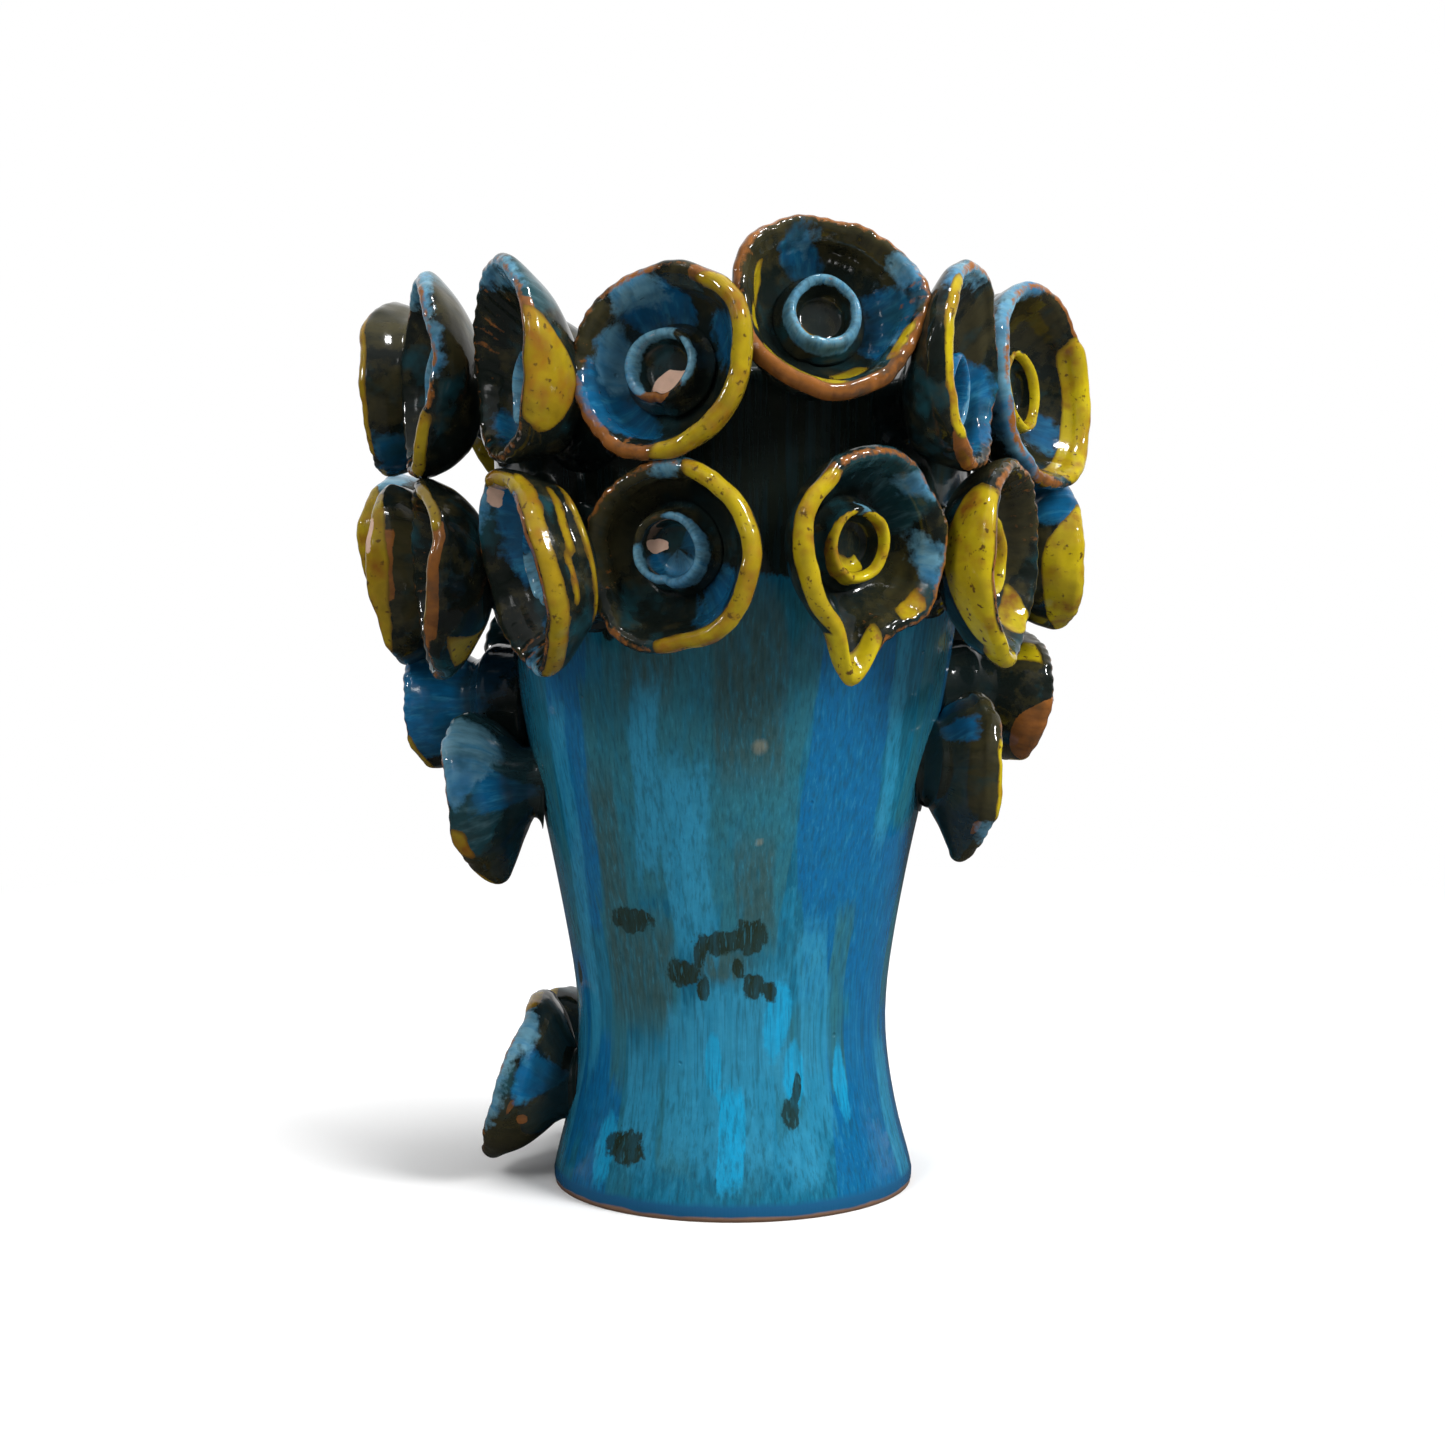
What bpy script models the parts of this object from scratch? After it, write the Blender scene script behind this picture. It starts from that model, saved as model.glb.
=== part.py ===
"""Glazed pottery vase covered in rows of hand-pressed clay blooms.

Metres, +Z up, origin at the middle of the foot, front towards -Y.
"""

import math

import bmesh
import bpy
from mathutils import Vector

MM = 0.001

# Thrown vessel: outer radius at each height, in millimetres.
OUTER = (
    (0.0, 59.3), (0.8, 60.3), (4.0, 60.8), (12.0, 58.0), (25.0, 54.6), (40.0, 52.0),
    (54.0, 51.0), (70.0, 52.2), (90.0, 55.6), (110.0, 59.6), (130.0, 64.0),
    (150.0, 68.2), (170.0, 71.8), (190.0, 74.8), (210.0, 77.0), (235.0, 79.0),
    (260.0, 80.0),
)
WALL = 6.0
FLOOR = 8.0
LIP_TOP = 263.0
JOIN = 112.0        # height where the two thrown sections meet
LEAN = 2.0          # how far the waist wandered to one side while the clay was wet
LEAN_AT = 100.0     # height of the middle of that wander
LEAN_SPREAD = 55.0
VESSEL_SIDES = 40
CLAY_GAP = 0.3      # gap kept between pieces that touch

# Pressed petals and the rolled ring set in each.
PETAL_SIDES = 16
PETAL_WALL = 3.4
STEM_FLARE = 2.0    # how much wider a stem is where it meets the vessel
STEM_BITE = 5.0     # how deep the stem's end goes before it is trimmed to the vessel
LIP_WIDTH = 5.0     # width of the edge, which is rolled outward
CUP_SIDES = 12
CUP_SHARE = 0.46    # cup radius as a share of the mouth's
CUP_WALL = 4.2
CUP_HEIGHT = 9.0

# Glaze colours, as linear red, green and blue.
GLAZES = {
    "turquoise": (0.045, 0.19, 0.29),
    "charcoal": (0.030, 0.036, 0.030),
    "olive": (0.105, 0.095, 0.040),
    "mustard": (0.480, 0.310, 0.045),
    "rust": (0.240, 0.120, 0.045),
    "blue": (0.055, 0.190, 0.360),
    "sky": (0.230, 0.400, 0.480),
}

# Each bloom: azimuth round the vessel, height and distance of its mouth's centre, the
# azimuth and tilt it faces, mouth radius, depth, petal glaze, cup glaze, how far the
# cup sits off centre (across, up), and the height its stem leaves the vessel.
# Azimuths are from the front (-Y) towards +X, in degrees; the rest is in millimetres.
RIM_BLOOMS = (
    (-11.7, 262.4, 108.0, -26, 8, 27.4, 19, "charcoal", "sky", (-3.0, 0.0), 246),
    (15.5, 279.6, 103.0, 12, 18, 26.5, 19, "rust", "blue", (0.0, 0.0), 247),
    (42.4, 263.3, 105.7, 69, 0, 28.0, 17, "olive", "blue", (0.0, -8.0), 248),
    (75.0, 262.0, 104.0, 57, 5, 31.5, 21, "olive", "mustard", (0.0, 0.0), 248),
    (112.0, 267.0, 105.0, 113, 3, 31.5, 21, "charcoal", "sky", (0.0, 0.0), 248),
    (149.5, 263.0, 105.0, 147, 0, 31.0, 21, "rust", "mustard", (0.0, 0.0), 247),
    (186.5, 268.0, 105.0, 188, 6, 32.0, 21, "blue", "sky", (0.0, 0.0), 248),
    (224.0, 264.0, 105.0, 221, 0, 31.5, 21, "olive", "blue", (0.0, 0.0), 248),
    (261.5, 264.5, 119.0, 261, 0, 28.0, 21, "olive", "mustard", (0.0, 0.0), 248),
    (290.0, 264.2, 107.0, 285, 0, 30.2, 18, "charcoal", "sky", (0.0, -3.0), 248),
    (320.5, 263.0, 108.0, 293, 0, 28.0, 19, "charcoal", "sky", (0.0, -7.0), 248),
)
COLLAR_BLOOMS = (
    (-10.0, 206.0, 108.0, -28, -3, 26.8, 20, "charcoal", "sky", (-5.0, 2.0), 205),
    (21.8, 209.5, 108.0, 38, -3, 26.8, 20, "charcoal", "mustard", (2.0, 0.0), 207),
    (56.0, 207.0, 104.0, 69, -2, 30.0, 19, "mustard", "mustard", (0.0, 0.0), 206),
    (93.0, 208.5, 110.0, 100, 0, 23.5, 20, "mustard", "blue", (0.0, 0.0), 206),
    (132.0, 205.0, 106.0, 130, -4, 30.5, 20, "blue", "mustard", (0.0, 0.0), 206),
    (170.5, 207.0, 106.0, 172, -4, 30.5, 20, "charcoal", "sky", (0.0, 0.0), 206),
    (207.0, 205.0, 106.0, 206, -4, 30.0, 20, "olive", "mustard", (0.0, 0.0), 206),
    (245.0, 214.0, 135.0, 253, 0, 23.5, 22, "mustard", "sky", (0.0, 0.0), 206),
    (265.0, 201.6, 114.0, 261, -4, 27.7, 20, "olive", "mustard", (0.0, 0.0), 203),
    (293.2, 202.0, 106.0, 282, -4, 29.0, 18, "mustard", "blue", (0.0, 0.0), 204),
    (322.0, 202.0, 105.0, 294, -12, 28.5, 19, "blue", "sky", (0.0, 0.0), 204),
)
SIDE_BLOOMS = (
    (255.0, 156.2, 108.0, 250, -8, 21.0, 19, "blue", "mustard", (0.0, 0.0), 158),
    (274.5, 131.0, 86.0, 252, -9, 23.5, 16, "charcoal", "sky", (0.0, 0.0), 133),
    (104.0, 160.5, 103.0, 112, -8, 21.0, 19, "rust", "mustard", (0.0, 0.0), 160),
    (79.0, 139.0, 81.0, 104, -5, 23.5, 14, "charcoal", "blue", (0.0, 0.0), 141),
    (229.0, 171.0, 92.0, 218, -8, 23.0, 17, "charcoal", "sky", (0.0, 0.0), 171),
)
FOOT_BLOOMS = (
    (270.0, 35.5, 73.0, 259, 15, 27.0, 15, "charcoal", "sky", (0.0, 0.0), 34),
    (229.0, 31.0, 84.0, 232, 6, 23.5, 18, "mustard", "blue", (0.0, 0.0), 34),
)
# Each row, its blooms and the radius of their stems.
ROWS = (
    ("rim_bloom", RIM_BLOOMS, 11.0),
    ("collar_bloom", COLLAR_BLOOMS, 12.0),
    ("side_bloom", SIDE_BLOOMS, 14.0),
    ("foot_bloom", FOOT_BLOOMS, 14.0),
)


def clear_scene():
    """Remove whatever the startup file holds."""
    for obj in list(bpy.data.objects):
        bpy.data.objects.remove(obj)


def glaze(name, colour):
    """A glossy fired glaze of one colour."""
    material = bpy.data.materials.new(name)
    material.use_nodes = True
    shader = material.node_tree.nodes["Principled BSDF"]
    shader.inputs["Base Color"].default_value = (*colour, 1.0)
    shader.inputs["Roughness"].default_value = 0.22
    shader.inputs["Coat Weight"].default_value = 0.6
    material.diffuse_color = (*colour, 1.0)
    return material


def lean_at(z):
    """Sideways offset of the vessel's axis at a height, in millimetres."""
    return -LEAN * math.exp(-(((z - LEAN_AT) / LEAN_SPREAD) ** 2)) if z > FLOOR else 0.0


def outer_radius(z):
    """Outer radius of the vessel at a height, in millimetres."""
    for (z0, r0), (z1, r1) in zip(OUTER, OUTER[1:]):
        if z <= z1:
            return r0 + (r1 - r0) * max(z - z0, 0.0) / (z1 - z0)
    return OUTER[-1][1]


def direction(azimuth, tilt=0.0):
    """Unit vector for an azimuth from the front and a tilt above level, in degrees."""
    a, t = math.radians(azimuth), math.radians(tilt)
    return Vector((math.sin(a) * math.cos(t), -math.cos(a) * math.cos(t), math.sin(t)))


def finished(bm, name, material):
    """An object made from a bmesh, its faces turned outward and shaded smooth."""
    bmesh.ops.recalc_face_normals(bm, faces=bm.faces)
    mesh = bpy.data.meshes.new(name)
    bm.to_mesh(mesh)
    bm.free()
    mesh.shade_smooth()
    obj = bpy.data.objects.new(name, mesh)
    bpy.context.scene.collection.objects.link(obj)
    if material:
        mesh.materials.append(material)
    return obj


def extruded(name, rings, material):
    """One closed body, a first face extruded from ring to ring, in millimetres."""
    bm = bmesh.new()
    first = [bm.verts.new(point * MM) for point in rings[0]]
    end = bm.faces.new(first)
    for ring in rings[1:]:
        end = bmesh.ops.extrude_discrete_faces(bm, faces=[end])["faces"][0]
        for vert, point in zip(end.verts, ring):
            vert.co = point * MM
    bm.faces.new(first[::-1])
    return finished(bm, name, material)


def level_ring(z, radius, sides=VESSEL_SIDES):
    """A level ring round the vessel's own axis."""
    turns = [2.0 * math.pi * i / sides for i in range(sides)]
    return [
        Vector((lean_at(z) + radius * math.sin(t), -radius * math.cos(t), z)) for t in turns
    ]


def vessel_lower(material):
    """The lower thrown section: foot, floor and waist."""
    rings = [level_ring(z, r) for z, r in OUTER if z < JOIN]
    top = JOIN - 0.5 * CLAY_GAP
    rings.append(level_ring(top, outer_radius(top)))
    for z in (top, 100.0, 70.0, 40.0, 18.0):
        rings.append(level_ring(z, outer_radius(z) - WALL))
    rings.append(level_ring(FLOOR, outer_radius(FLOOR) - WALL - 9.0))
    return extruded("vessel_lower", rings, material)


def vessel_upper(material):
    """The upper thrown section: a flared wall, turned from its outline."""
    bottom = JOIN + 0.5 * CLAY_GAP
    lip_r = OUTER[-1][1]
    outline = [(bottom, outer_radius(bottom))] + [(z, r) for z, r in OUTER if z > JOIN]
    outline += [(LIP_TOP, lip_r - 1.6), (LIP_TOP, lip_r - WALL + 1.6)]
    for z in (260.0, 235.0, 205.0, 170.0, 135.0, bottom):
        outline.append((z, outer_radius(z) - WALL))
    bm = bmesh.new()
    verts = [bm.verts.new((0.0, -r * MM, z * MM)) for z, r in outline]
    edges = [bm.edges.new(pair) for pair in zip(verts, verts[1:] + verts[:1])]
    bmesh.ops.spin(
        bm, geom=verts + edges, axis=(0.0, 0.0, 1.0), cent=(0.0, 0.0, 0.0),
        angle=2.0 * math.pi, steps=VESSEL_SIDES, use_merge=True, use_duplicate=False,
    )
    for vert in bm.verts:
        vert.co.x += lean_at(vert.co.z / MM) * MM
    return finished(bm, "vessel_upper", material)


def vessel_clearance():
    """Solid a little larger than the vessel, which trims every stem to its surface."""
    rings = [level_ring(z, r + CLAY_GAP) for z, r in OUTER[1:]]
    rings.append(level_ring(LIP_TOP + CLAY_GAP, OUTER[-1][1] - 1.0))
    cutter = extruded("stem_trim", rings, None)
    cutter.hide_render = True
    cutter.display_type = "WIRE"
    return cutter


class Mouth:
    """Centre and directions of one bloom's mouth."""

    def __init__(self, azimuth, height, distance, facing, tilt):
        self.centre = direction(azimuth) * distance + Vector((0.0, 0.0, height))
        self.out = direction(facing, tilt)
        up = Vector((0.0, 0.0, 1.0))
        self.up = (up - self.out * up.dot(self.out)).normalized()
        self.across = self.up.cross(self.out)

    def ring(self, radius, depth, shift, sides, wave=0.0, phase=0.0):
        """A ring at a depth inside the mouth, with its centre shifted across and up."""
        middle = self.centre - self.out * depth
        middle += self.across * shift[0] + self.up * shift[1]
        points = []
        for i in range(sides):
            turn = 2.0 * math.pi * i / sides
            swell = 1.0 + wave * math.sin(3.0 * turn + phase)
            curl = self.out * (radius * wave * math.sin(2.0 * turn + 2.0 * phase))
            side = self.across * math.sin(turn) + self.up * math.cos(turn)
            points.append(middle + side * radius * swell + curl)
        return points


def stem_rings(mouth, depth, shift, azimuth, foot_height, stem_r):
    """Rings that lead from the back of the petals into the vessel's wall."""
    back = mouth.centre - mouth.out * depth
    back += mouth.across * shift[0] + mouth.up * shift[1]
    into = direction(azimuth)
    foot = into * (outer_radius(foot_height) - STEM_BITE)
    foot += Vector((lean_at(foot_height), 0.0, foot_height))
    rings = []
    for share, radius in ((0.35, stem_r), (1.0, stem_r + STEM_FLARE)):
        middle = back.lerp(foot, share)
        axis = mouth.out.lerp(into, share).normalized()
        up = (mouth.up - axis * mouth.up.dot(axis)).normalized()
        across = up.cross(axis)
        rings.append([
            middle + (across * math.sin(t) + up * math.cos(t)) * radius
            for t in (2.0 * math.pi * i / PETAL_SIDES for i in range(PETAL_SIDES))
        ])
    return rings


def petals(name, bloom, stem_r, phase, material, cutter):
    """A pressed bowl of petals with a wavy edge, on a stem trimmed to the vessel."""
    azimuth, height, distance, facing, tilt, radius, depth = bloom[:7]
    shift, foot_height = bloom[9:]
    mouth = Mouth(azimuth, height, distance, facing, tilt)
    floor = depth - PETAL_WALL
    profile = (
        (0.52 * radius, floor, 1.0, 0.0),
        (0.82 * radius, 0.50 * depth, 0.4, 0.01),
        (radius - LIP_WIDTH, 1.4, 0.0, 0.02),
        (radius - 0.5 * LIP_WIDTH, 0.0, 0.0, 0.02),
        (radius, 2.2, 0.0, 0.02),
        (0.99 * radius, 5.2, 0.1, 0.02),
        (0.86 * radius, 0.50 * depth + PETAL_WALL, 0.4, 0.01),
        (max(0.56 * radius, stem_r + 0.5), depth - 0.4, 1.0, 0.0),
    )
    rings = [
        mouth.ring(r, d, (shift[0] * s, shift[1] * s), PETAL_SIDES, wave, phase)
        for r, d, s, wave in profile
    ]
    rings += stem_rings(mouth, depth, shift, azimuth, foot_height, stem_r)
    body = extruded(name, rings, material)
    trim = body.modifiers.new("trim_to_vessel", "BOOLEAN")
    trim.operation = "DIFFERENCE"
    trim.solver = "EXACT"
    trim.object = cutter
    return body


def cup(name, bloom, material):
    """A rolled ring of clay with a blind hole, set on the floor of the petals."""
    azimuth, height, distance, facing, tilt, radius, depth = bloom[:7]
    shift = bloom[9]
    mouth = Mouth(azimuth, height, distance, facing, tilt)
    seat = depth - PETAL_WALL - CLAY_GAP
    outside = CUP_SHARE * radius
    hole = outside - CUP_WALL
    profile = (
        (outside - 1.2, seat),
        (outside, seat - 2.6),
        (outside - 0.4, seat - CUP_HEIGHT + 1.8),
        (outside - 0.5 * CUP_WALL, seat - CUP_HEIGHT),
        (hole, seat - CUP_HEIGHT + 1.8),
        (hole - 2.4, seat - 1.8),
    )
    rings = [mouth.ring(r, d, shift, CUP_SIDES) for r, d in profile]
    return extruded(name, rings, material)


def main():
    clear_scene()
    vessel_glaze = glaze("vessel_glaze", GLAZES["turquoise"])
    vessel_lower(vessel_glaze)
    vessel_upper(vessel_glaze)
    cutter = vessel_clearance()
    for row, blooms, stem_r in ROWS:
        for number, bloom in enumerate(blooms, 1):
            name = f"{row}_{number:02d}"
            petal_glaze = glaze(f"{name}_petal_glaze", GLAZES[bloom[7]])
            cup_glaze = glaze(f"{name}_cup_glaze", GLAZES[bloom[8]])
            petals(f"{name}_petals", bloom, stem_r, 1.7 * number, petal_glaze, cutter)
            cup(f"{name}_cup", bloom, cup_glaze)


main()
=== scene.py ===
"""Shows the glazed pottery vase with its hand-pressed clay blooms.

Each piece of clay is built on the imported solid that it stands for.
"""

import math

import bmesh
import bpy
import numpy as np
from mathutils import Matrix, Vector
from mathutils.bvhtree import BVHTree


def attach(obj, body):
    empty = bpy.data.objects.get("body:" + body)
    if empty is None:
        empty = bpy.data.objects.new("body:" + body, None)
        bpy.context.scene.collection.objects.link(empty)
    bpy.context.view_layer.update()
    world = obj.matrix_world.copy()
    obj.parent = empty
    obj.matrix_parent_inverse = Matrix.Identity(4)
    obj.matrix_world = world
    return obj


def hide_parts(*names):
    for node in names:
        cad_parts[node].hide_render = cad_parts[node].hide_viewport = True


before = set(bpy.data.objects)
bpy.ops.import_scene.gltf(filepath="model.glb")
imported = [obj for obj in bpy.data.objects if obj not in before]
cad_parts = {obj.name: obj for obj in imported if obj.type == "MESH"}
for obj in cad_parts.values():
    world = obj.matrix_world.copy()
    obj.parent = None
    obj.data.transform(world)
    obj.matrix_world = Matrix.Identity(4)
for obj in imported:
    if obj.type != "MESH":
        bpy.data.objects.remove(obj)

bl_info = {
    "name": "Bloom Vase",
    "version": (1, 0, 0),
    "blender": (4, 5, 0),
    "location": "3D View > Sidebar > Vase",
    "description": "Builds a glazed vase covered in pressed clay blooms",
    "category": "Add Mesh",
}

MM = 0.001
FULL_TURN = 2.0 * math.pi
PROFILE_RINGS = 92      # rings from the petals' floor to their stem
STEM_RINGS = 12
CUP_RINGS, CUP_TURNS = 40, 112
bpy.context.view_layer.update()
ROWS = ("rim_bloom", "collar_bloom", "side_bloom", "foot_bloom")
PAINTS = ("yellow", "blue", "sky", "rust", "clay", "olive", "teal")
CRISP = ("yellow", "rust", "clay")

# Brush strokes on each bloom: paint, first and last turn clockwise from the top as
# the bloom is faced, then first and last reach. Reach is 0 at the centre of the
# petals, 1 on the crest of their edge and 2 where the stem meets the vessel.
PETAL_STROKES = {
    "rim_bloom_01": (
        ("olive", -120, -36, 0.60, 1.08), ("olive", 0, 60, 0.66, 1.06),
        ("sky", -42, 2, 0.70, 1.06), ("blue", -46, 24, 0.44, 0.76),
        ("blue", 190, 284, 0.46, 0.92), ("blue", 46, 104, 0.56, 0.84),
        ("sky", 250, 306, 0.44, 0.78), ("sky", 62, 100, 0.80, 0.87),
        ("yellow", 30, 186, 0.905, 1.30), ("rust", 178, 262, 0.94, 1.14),
        ("rust", 14, 44, 0.92, 1.12),
    ),
    "rim_bloom_02": (
        ("olive", -88, 84, 0.66, 1.1), ("blue", -34, 2, 0.44, 0.88),
        ("sky", -20, 0, 0.66, 0.80), ("yellow", -80, -52, 0.60, 0.84),
        ("yellow", -118, -92, 0.64, 0.94), ("blue", 60, 132, 0.48, 0.84),
        ("sky", 56, 84, 0.86, 1.02), ("blue", 68, 92, 0.86, 0.97),
        ("sky", 118, 128, 0.66, 0.88), ("yellow", 150, 184, 0.52, 0.74),
        ("rust", 96, 256, 0.93, 1.22), ("yellow", 104, 140, 0.88, 0.99),
        ("yellow", 176, 244, 0.84, 0.95), ("rust", -84, 60, 1.03, 1.12),
    ),
    "rim_bloom_03": (
        ("yellow", 214, 326, 0.91, 1.10), ("rust", 180, 224, 0.92, 1.16),
        ("sky", -46, 12, 0.94, 1.06), ("blue", 60, 185, 0.40, 0.92),
        ("olive", 20, 80, 0.5, 1.1),
    ),
    "rim_bloom_04": (
        ("olive", -60, 60, 0.40, 0.94), ("sky", 200, 368, 0.98, 1.14),
        ("blue", 104, 138, 0.52, 0.72), ("yellow", 58, 170, 0.74, 1.32),
        ("rust", 20, 64, 0.96, 1.10), ("rust", 176, 204, 0.92, 1.12),
    ),
    "rim_bloom_09": (
        ("olive", -20, 72, 1.06, 1.9), ("blue", 128, 182, 1.14, 1.9),
        ("yellow", 40, 150, 0.94, 1.12), ("rust", 20, 60, 0.97, 1.10),
        ("olive", 80, 120, 1.2, 1.5),
    ),
    "rim_bloom_10": (
        ("teal", -30, 40, 1.10, 1.5), ("sky", -30, 100, 0.96, 1.07),
        ("yellow", 120, 176, 0.94, 1.16), ("olive", 10, 90, 1.2, 1.6),
    ),
    "rim_bloom_11": (
        ("sky", -26, 50, 0.90, 1.04), ("yellow", 60, 132, 1.02, 1.54),
        ("rust", 48, 72, 0.98, 1.14), ("teal", 8, 60, 1.1, 1.4),
        ("blue", 200, 250, 0.5, 0.8),
    ),
    "collar_bloom_01": (
        ("olive", -100, 20, 0.52, 1.2), ("blue", 112, 166, 0.50, 0.84),
        ("yellow", 14, 196, 0.92, 1.22), ("rust", 116, 176, 1.0, 1.22),
        ("sky", -10, 14, 0.94, 1.08), ("olive", 250, 300, 0.5, 1.2),
    ),
    "collar_bloom_02": (
        ("teal", -36, 78, 0.56, 1.1), ("sky", 30, 54, 0.76, 1.0),
        ("sky", 80, 112, 0.74, 0.94), ("olive", 205, 335, 0.62, 0.86),
        ("yellow", 204, 330, 0.915, 1.20), ("rust", 292, 332, 0.94, 1.14),
        ("yellow", 174, 210, 0.80, 1.34), ("yellow", 126, 152, 0.80, 0.98),
        ("sky", 100, 110, 0.96, 1.1), ("olive", 100, 170, 0.6, 0.84),
    ),
    "collar_bloom_03": (
        ("yellow", 214, 318, 1.03, 1.54), ("olive", -60, 110, 0.40, 1.1),
        ("yellow", 176, 222, 0.92, 1.24), ("olive", 318, 350, 1.0, 1.8),
        ("yellow", 112, 150, 0.66, 1.02), ("yellow", 158, 182, 0.60, 0.92),
        ("rust", 250, 300, 0.95, 1.03),
    ),
    "collar_bloom_04": (
        ("blue", -60, 6, 1.08, 1.7), ("yellow", 186, 318, 0.92, 1.42),
        ("yellow", 70, 160, 0.9, 1.12), ("olive", 210, 290, 1.4, 1.9),
    ),
    "collar_bloom_08": (
        ("yellow", 30, 180, 0.92, 1.36), ("sky", -10, 60, 0.92, 1.25),
        ("blue", 150, 200, 0.95, 1.5), ("olive", 80, 130, 1.2, 1.6),
    ),
    "collar_bloom_09": (
        ("yellow", 18, 150, 0.93, 1.26), ("clay", 46, 70, 1.03, 1.13),
        ("rust", 60, 110, 1.12, 1.3), ("olive", 40, 150, 1.3, 1.9),
        ("sky", 150, 190, 0.97, 1.10),
    ),
    "collar_bloom_10": (
        ("yellow", 12, 60, 0.94, 1.12), ("rust", 56, 130, 0.96, 1.16),
        ("yellow", 50, 128, 0.96, 1.02), ("yellow", 136, 168, 1.24, 1.6),
        ("teal", 150, 190, 1.0, 1.3),
    ),
    "collar_bloom_11": (
        ("blue", -120, 214, 0.20, 0.95), ("clay", -34, -12, 0.80, 0.96),
        ("yellow", -26, 24, 0.92, 1.10), ("rust", 26, 108, 0.93, 1.04),
        ("yellow", 20, 176, 1.04, 1.22), ("sky", -60, -14, 0.95, 1.10),
        ("sky", 178, 204, 0.90, 1.12), ("yellow", 22, 140, 1.46, 1.54),
        ("yellow", 30, 84, 1.31, 1.39), ("yellow", 84, 118, 1.26, 1.32),
    ),
    "side_bloom_01": (
        ("blue", -80, 150, 1.10, 1.95), ("yellow", 120, 205, 0.94, 1.16),
        ("sky", -10, 40, 1.1, 1.4),
    ),
    "side_bloom_02": (
        ("teal", -60, 140, 1.10, 1.95), ("sky", 20, 96, 1.04, 1.56),
        ("blue", 70, 120, 1.4, 1.9), ("blue", 84, 96, 1.0, 1.1),
        ("olive", 116, 200, 1.0, 1.34), ("yellow", 122, 150, 1.04, 1.22),
        ("yellow", 164, 196, 0.9, 1.16),
    ),
    "side_bloom_03": (
        ("olive", -60, 60, 1.0, 1.9), ("rust", 205, 275, 1.0, 1.42),
        ("yellow", 170, 214, 0.9, 1.2), ("yellow", 300, 330, 1.2, 1.6),
        ("olive", 150, 210, 1.2, 1.9),
    ),
    "side_bloom_04": (
        ("olive", 190, 430, 1.0, 1.95), ("yellow", 236, 300, 0.97, 1.10),
        ("sky", 204, 228, 0.97, 1.10), ("rust", 216, 230, 1.2, 1.3),
        ("blue", 300, 330, 1.4, 1.7),
    ),
    "side_bloom_05": (
        ("teal", 20, 80, 1.2, 1.6), ("blue", 160, 210, 1.2, 1.5), ("olive", 60, 140, 1.0, 1.4),
        ("yellow", 200, 290, 0.92, 1.2),
    ),
    "foot_bloom_01": (
        ("olive", -40, 60, 1.30, 1.9), ("yellow", 0, 30, 0.98, 1.16),
        ("sky", 30, 130, 0.96, 1.07), ("blue", 50, 92, 1.3, 1.8),
        ("sky", 34, 62, 1.06, 1.28), ("olive", 88, 200, 1.04, 1.95),
        ("rust", 96, 106, 1.24, 1.34), ("rust", 112, 122, 1.40, 1.52),
    ),
    "foot_bloom_02": (
        ("yellow", 10, 120, 0.94, 1.4), ("olive", 120, 230, 0.92, 1.3),
        ("yellow", 60, 90, 1.4, 1.6), ("teal", -60, 10, 0.9, 1.5),
    ),
}
# Blooms without strokes of their own take one of these in turn.
SPARE_STROKES = (
    (
        ("yellow", 20, 190, 0.90, 1.26), ("blue", 200, 300, 0.40, 0.86),
        ("olive", -80, 30, 0.62, 1.2), ("sky", -20, 20, 0.5, 0.8),
    ),
    (
        ("olive", -100, 90, 0.60, 1.2), ("yellow", 150, 300, 0.90, 1.2),
        ("blue", 40, 130, 0.44, 0.85), ("rust", -60, 60, 0.96, 1.12),
    ),
    (
        ("teal", -40, 90, 0.55, 1.4), ("yellow", 90, 250, 0.90, 1.3),
        ("olive", 240, 330, 0.5, 1.2), ("blue", 120, 180, 0.4, 0.8),
    ),
    (
        ("blue", -120, 100, 0.34, 0.90), ("yellow", 60, 200, 0.92, 1.4),
        ("rust", 190, 300, 0.94, 1.15), ("teal", 200, 320, 1.2, 1.8),
    ),
)
# Strokes on a rolled cup, in the same terms: 0 in the hole, 1 on the lip, 2 at the foot.
CUP_STROKES = {
    "rim_bloom_01": (
        ("clay", 96, 236, -0.1, 0.62), ("sky", 210, 390, 0.62, 1.7),
        ("sky", 40, 130, 0.90, 1.16), ("rust", 150, 236, 0.86, 1.36),
        ("blue", 290, 350, 1.4, 1.95),
    ),
    "rim_bloom_02": (
        ("sky", 0, 360, 0.80, 1.5), ("yellow", 168, 282, 0.40, 0.92),
        ("olive", 178, 250, 0.9, 1.9),
    ),
    "rim_bloom_03": (("blue", 0, 360, 0.4, 2.0), ("sky", 60, 200, 0.9, 1.3)),
    "rim_bloom_04": (("yellow", 0, 360, 0.6, 1.6), ("olive", 200, 250, 0.7, 1.2)),
    "rim_bloom_11": (("clay", 120, 250, -0.1, 0.5), ("sky", 0, 360, 0.5, 2.0)),
    "rim_bloom_10": (("sky", 0, 360, 0.5, 2.0),),
    "collar_bloom_01": (
        ("blue", 20, 260, 0.16, 0.80), ("sky", 120, 220, 0.10, 0.40),
        ("clay", 262, 300, 0.1, 0.6), ("sky", 0, 285, 0.82, 1.45),
        ("olive", 290, 358, 0.8, 1.9),
    ),
    "collar_bloom_02": (
        ("yellow", 8, 350, 0.62, 1.55), ("yellow", 130, 226, 0.12, 0.6),
        ("sky", -8, 8, 0.8, 1.5),
    ),
    "collar_bloom_11": (("sky", 60, 300, 0.6, 2.0), ("blue", -60, 60, 0.5, 2.0)),
    "collar_bloom_03": (("yellow", 0, 360, 0.5, 2.0),),
}
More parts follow.
